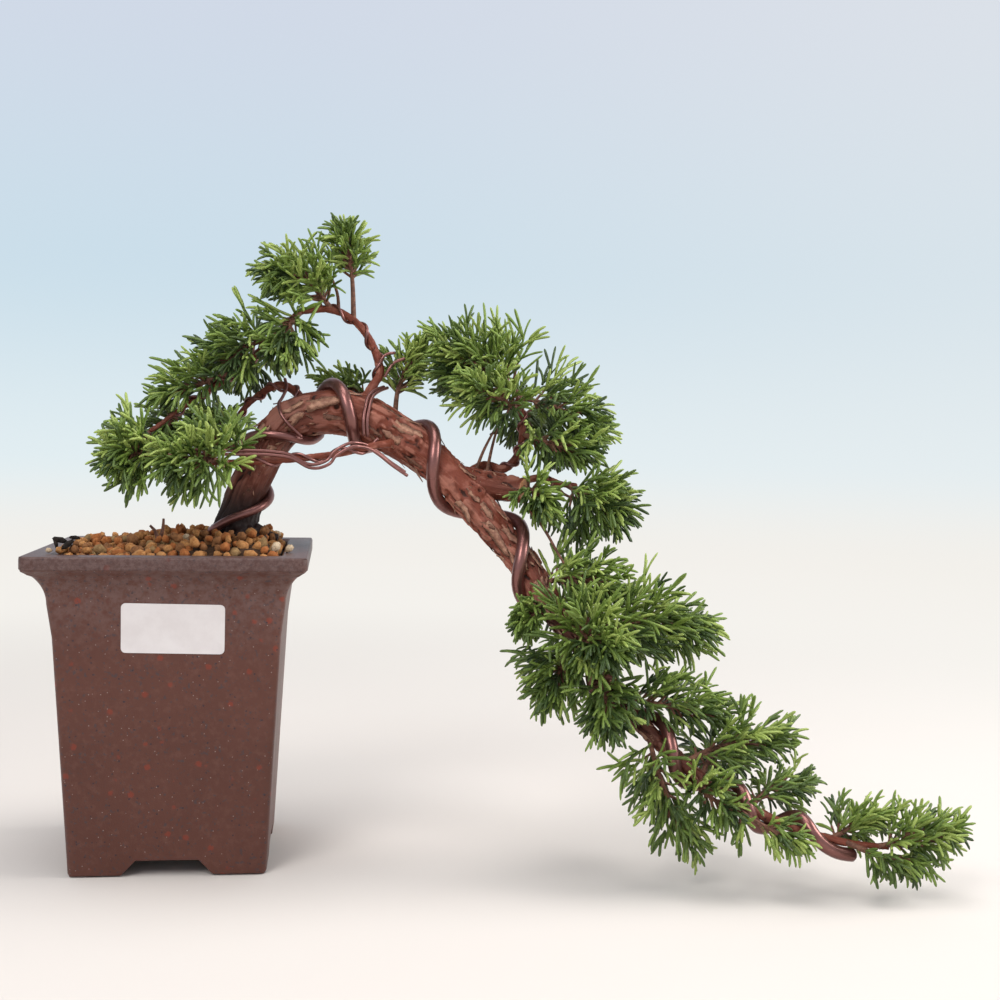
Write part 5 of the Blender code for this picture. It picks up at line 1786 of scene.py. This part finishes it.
def make_ticket():
    paper = plain_finish("ticket paper", (0.66, 0.605, 0.595), (0.71, 0.66, 0.65), 9.0, 0.42, 0.03)
    across, down = PAPER_CELLS
    corners = []
    for j in range(down + 1):
        v = 0.5 * TICKET_SIZE[1] * math.cos(math.pi * (1 - j / down))
        over = max(0.0, abs(v) - (TICKET_SIZE[1] / 2 - TICKET_CORNER))
        half = TICKET_SIZE[0] / 2 - TICKET_CORNER + math.sqrt(max(0.0, TICKET_CORNER**2 - over**2))
        for i in range(across + 1):
            u = half * (2 * i / across - 1)
            x = TICKET_MIDDLE[0] + u * math.cos(TICKET_TURN) - v * math.sin(TICKET_TURN)
            z = TICKET_MIDDLE[1] + u * math.sin(TICKET_TURN) + v * math.cos(TICKET_TURN)
            y = -wall_half_width(z * MM) / MM - PAPER_LIFT
            corners.append(tuple(place(x, y, z)))
    row = across + 1
    faces = [(j * row + i, j * row + i + 1, (j + 1) * row + i + 1, (j + 1) * row + i)
             for j in range(down) for i in range(across)]
    mesh = bpy.data.meshes.new("blank_ticket")
    mesh.from_pydata(corners, [], faces)
    ticket = add_object("blank_ticket", mesh, paper)
    solid = ticket.modifiers.new("Paper", "SOLIDIFY")
    solid.thickness = PAPER_THICK
    solid.offset = 1.0
    ticket = finished(ticket)
    shape = bmesh.new()
    shape.from_mesh(ticket.data)
    shape_mesh("ticket", shape, ticket.data)
    shade_smooth(ticket.data, 40)
    return ticket


ticket = make_ticket()
put_on(ticket, "pot")

# %% [markdown]
# ## Shelf and light
# The pot stands on a plain pale sheet that curves up on all sides into a pale blue wall, so that
# every view has a quiet background. The wall and the far floor glow by themselves, paler to the
# right: painted light. Large soft lamps stand to the left, right and above, and the sky's even
# glow fills the shadows.

# %% Set the stage
FLAT_RADIUS = 1.3
BEND_RADIUS = 1.1
BACKDROP_TOP = 2.6
BACKDROP_MIDDLE = 0.12
BELOW_FEET = 0.0004
AIM = (0.15, 0.0, 0.14)
# Lamps: name, place, size, power and colour.
LAMPS = (("left lamp", (-0.5, -1.1, 1.2), 0.8, 13, (1.0, 0.985, 0.965)),
         ("right lamp", (1.4, -0.05, 0.7), 0.8, 18, (1.0, 0.99, 0.98)),
         ("top lamp", (0.1, -0.1, 1.6), 1.0, 11, (1.0, 1.0, 1.0)))


def backdrop_finish():
    sheet = Finish("pale backdrop", Roughness=0.9, Specular_IOR_Level=0.1, Emission_Strength=1.0)
    height = sheet.coordinate("Z")
    rise = sheet.between(height, 1, 140)
    stain = sheet.noise(160, detail=3)
    cream = sheet.mix(stain, (0.650, 0.594, 0.550), (0.666, 0.618, 0.576))
    away = sheet.node("ShaderNodeVectorMath", {"operation": "LENGTH"}, {
        0: sheet.stretched(sheet.where, (1.0, 1.0, 0.0))}, output="Value")
    # Far from the pot the floor glows cream by itself rather than being lit: painted light.
    far = sheet.between(away, 170, 950)
    wall = sheet.mix(sheet.between(height, 0, 520), (0.750, 0.830, 0.850), (0.560, 0.695, 0.785))
    # The wall glows by itself too, blue-grey, paler to the right: painted light.
    east_glow = sheet.between(sheet.coordinate("X"), -300, 1900)
    wall = sheet.layered(wall, (sheet.between(height, 380, 1150), (0.600, 0.655, 0.760)),
                         (east_glow * 0.5, (0.790, 0.800, 0.800)))
    glow = sheet.mix(far, (0.0, 0.0, 0.0), (0.845, 0.820, 0.775))
    return sheet.set(Base_Color=sheet.mix(far, cream, (0.04, 0.04, 0.04)),
                     Emission_Color=sheet.mix(rise, glow, wall))


def make_backdrop():
    """A round sheet, flat in the middle and curved up at its edge."""
    profile = [(0.0, 0.0), (0.4, 0.0), (0.9, 0.0)]
    for turn in np.linspace(0, math.pi / 2, 17):
        profile.append((FLAT_RADIUS + BEND_RADIUS * math.sin(turn),
                        BEND_RADIUS * (1 - math.cos(turn))))
    profile.append((FLAT_RADIUS + BEND_RADIUS, BACKDROP_TOP))
    mesh = bpy.data.meshes.new("backdrop")
    mesh.from_pydata([(radius, 0.0, height - BELOW_FEET) for radius, height in profile],
                     [(k, k + 1) for k in range(len(profile) - 1)], [])
    sheet = add_object("backdrop", mesh, backdrop_finish())
    turn = sheet.modifiers.new("Turn", "SCREW")
    turn.steps = 96
    turn.render_steps = 96
    turn.use_merge_vertices = True
    turn.use_normal_flip = True
    sheet.location = (BACKDROP_MIDDLE, 0.0, 0.0)
    sheet = finished(sheet)
    smooth_all(sheet.data)
    sheet.visible_shadow = False
    return sheet


def lamp(name, spot, size, power, colour):
    """A round soft lamp that shines at the tree."""
    light = bpy.data.lights.new(name, "AREA")
    light.shape = "DISK"
    light.size = size
    light.energy = power
    light.color = colour
    item = add_object(name, light)
    item.location = spot
    item.rotation_mode = "QUATERNION"
    item.rotation_quaternion = (Vector(spot) - Vector(AIM)).to_track_quat("Z", "Y")


backdrop = make_backdrop()
backdrop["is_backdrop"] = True
for kind in LAMPS:
    lamp(*kind)
world = bpy.data.worlds.new("studio")
bpy.context.scene.world = world
world.use_nodes = True
glow = world.node_tree.nodes["Background"]
glow.inputs["Color"].default_value = (0.95, 0.97, 1.0, 1.0)
glow.inputs["Strength"].default_value = 0.30
print(len(LAMPS), "lamps and a round sheet", round(2 * (FLAT_RADIUS + BEND_RADIUS), 1), "m across")
bpy.context.scene.view_settings.view_transform = "Standard"
bpy.context.scene.view_settings.look = "None"

# %% [markdown]
# ## The size
# The dressed tree has to fill the same box as the plain solids. Both boxes are printed.

# %% Print the sizes
SHOWN_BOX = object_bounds()
for title, corners in (("solids", CAD_BOX), ("shown", SHOWN_BOX)):
    print(title, [[round(v / MM, 1) for v in corner] for corner in corners])
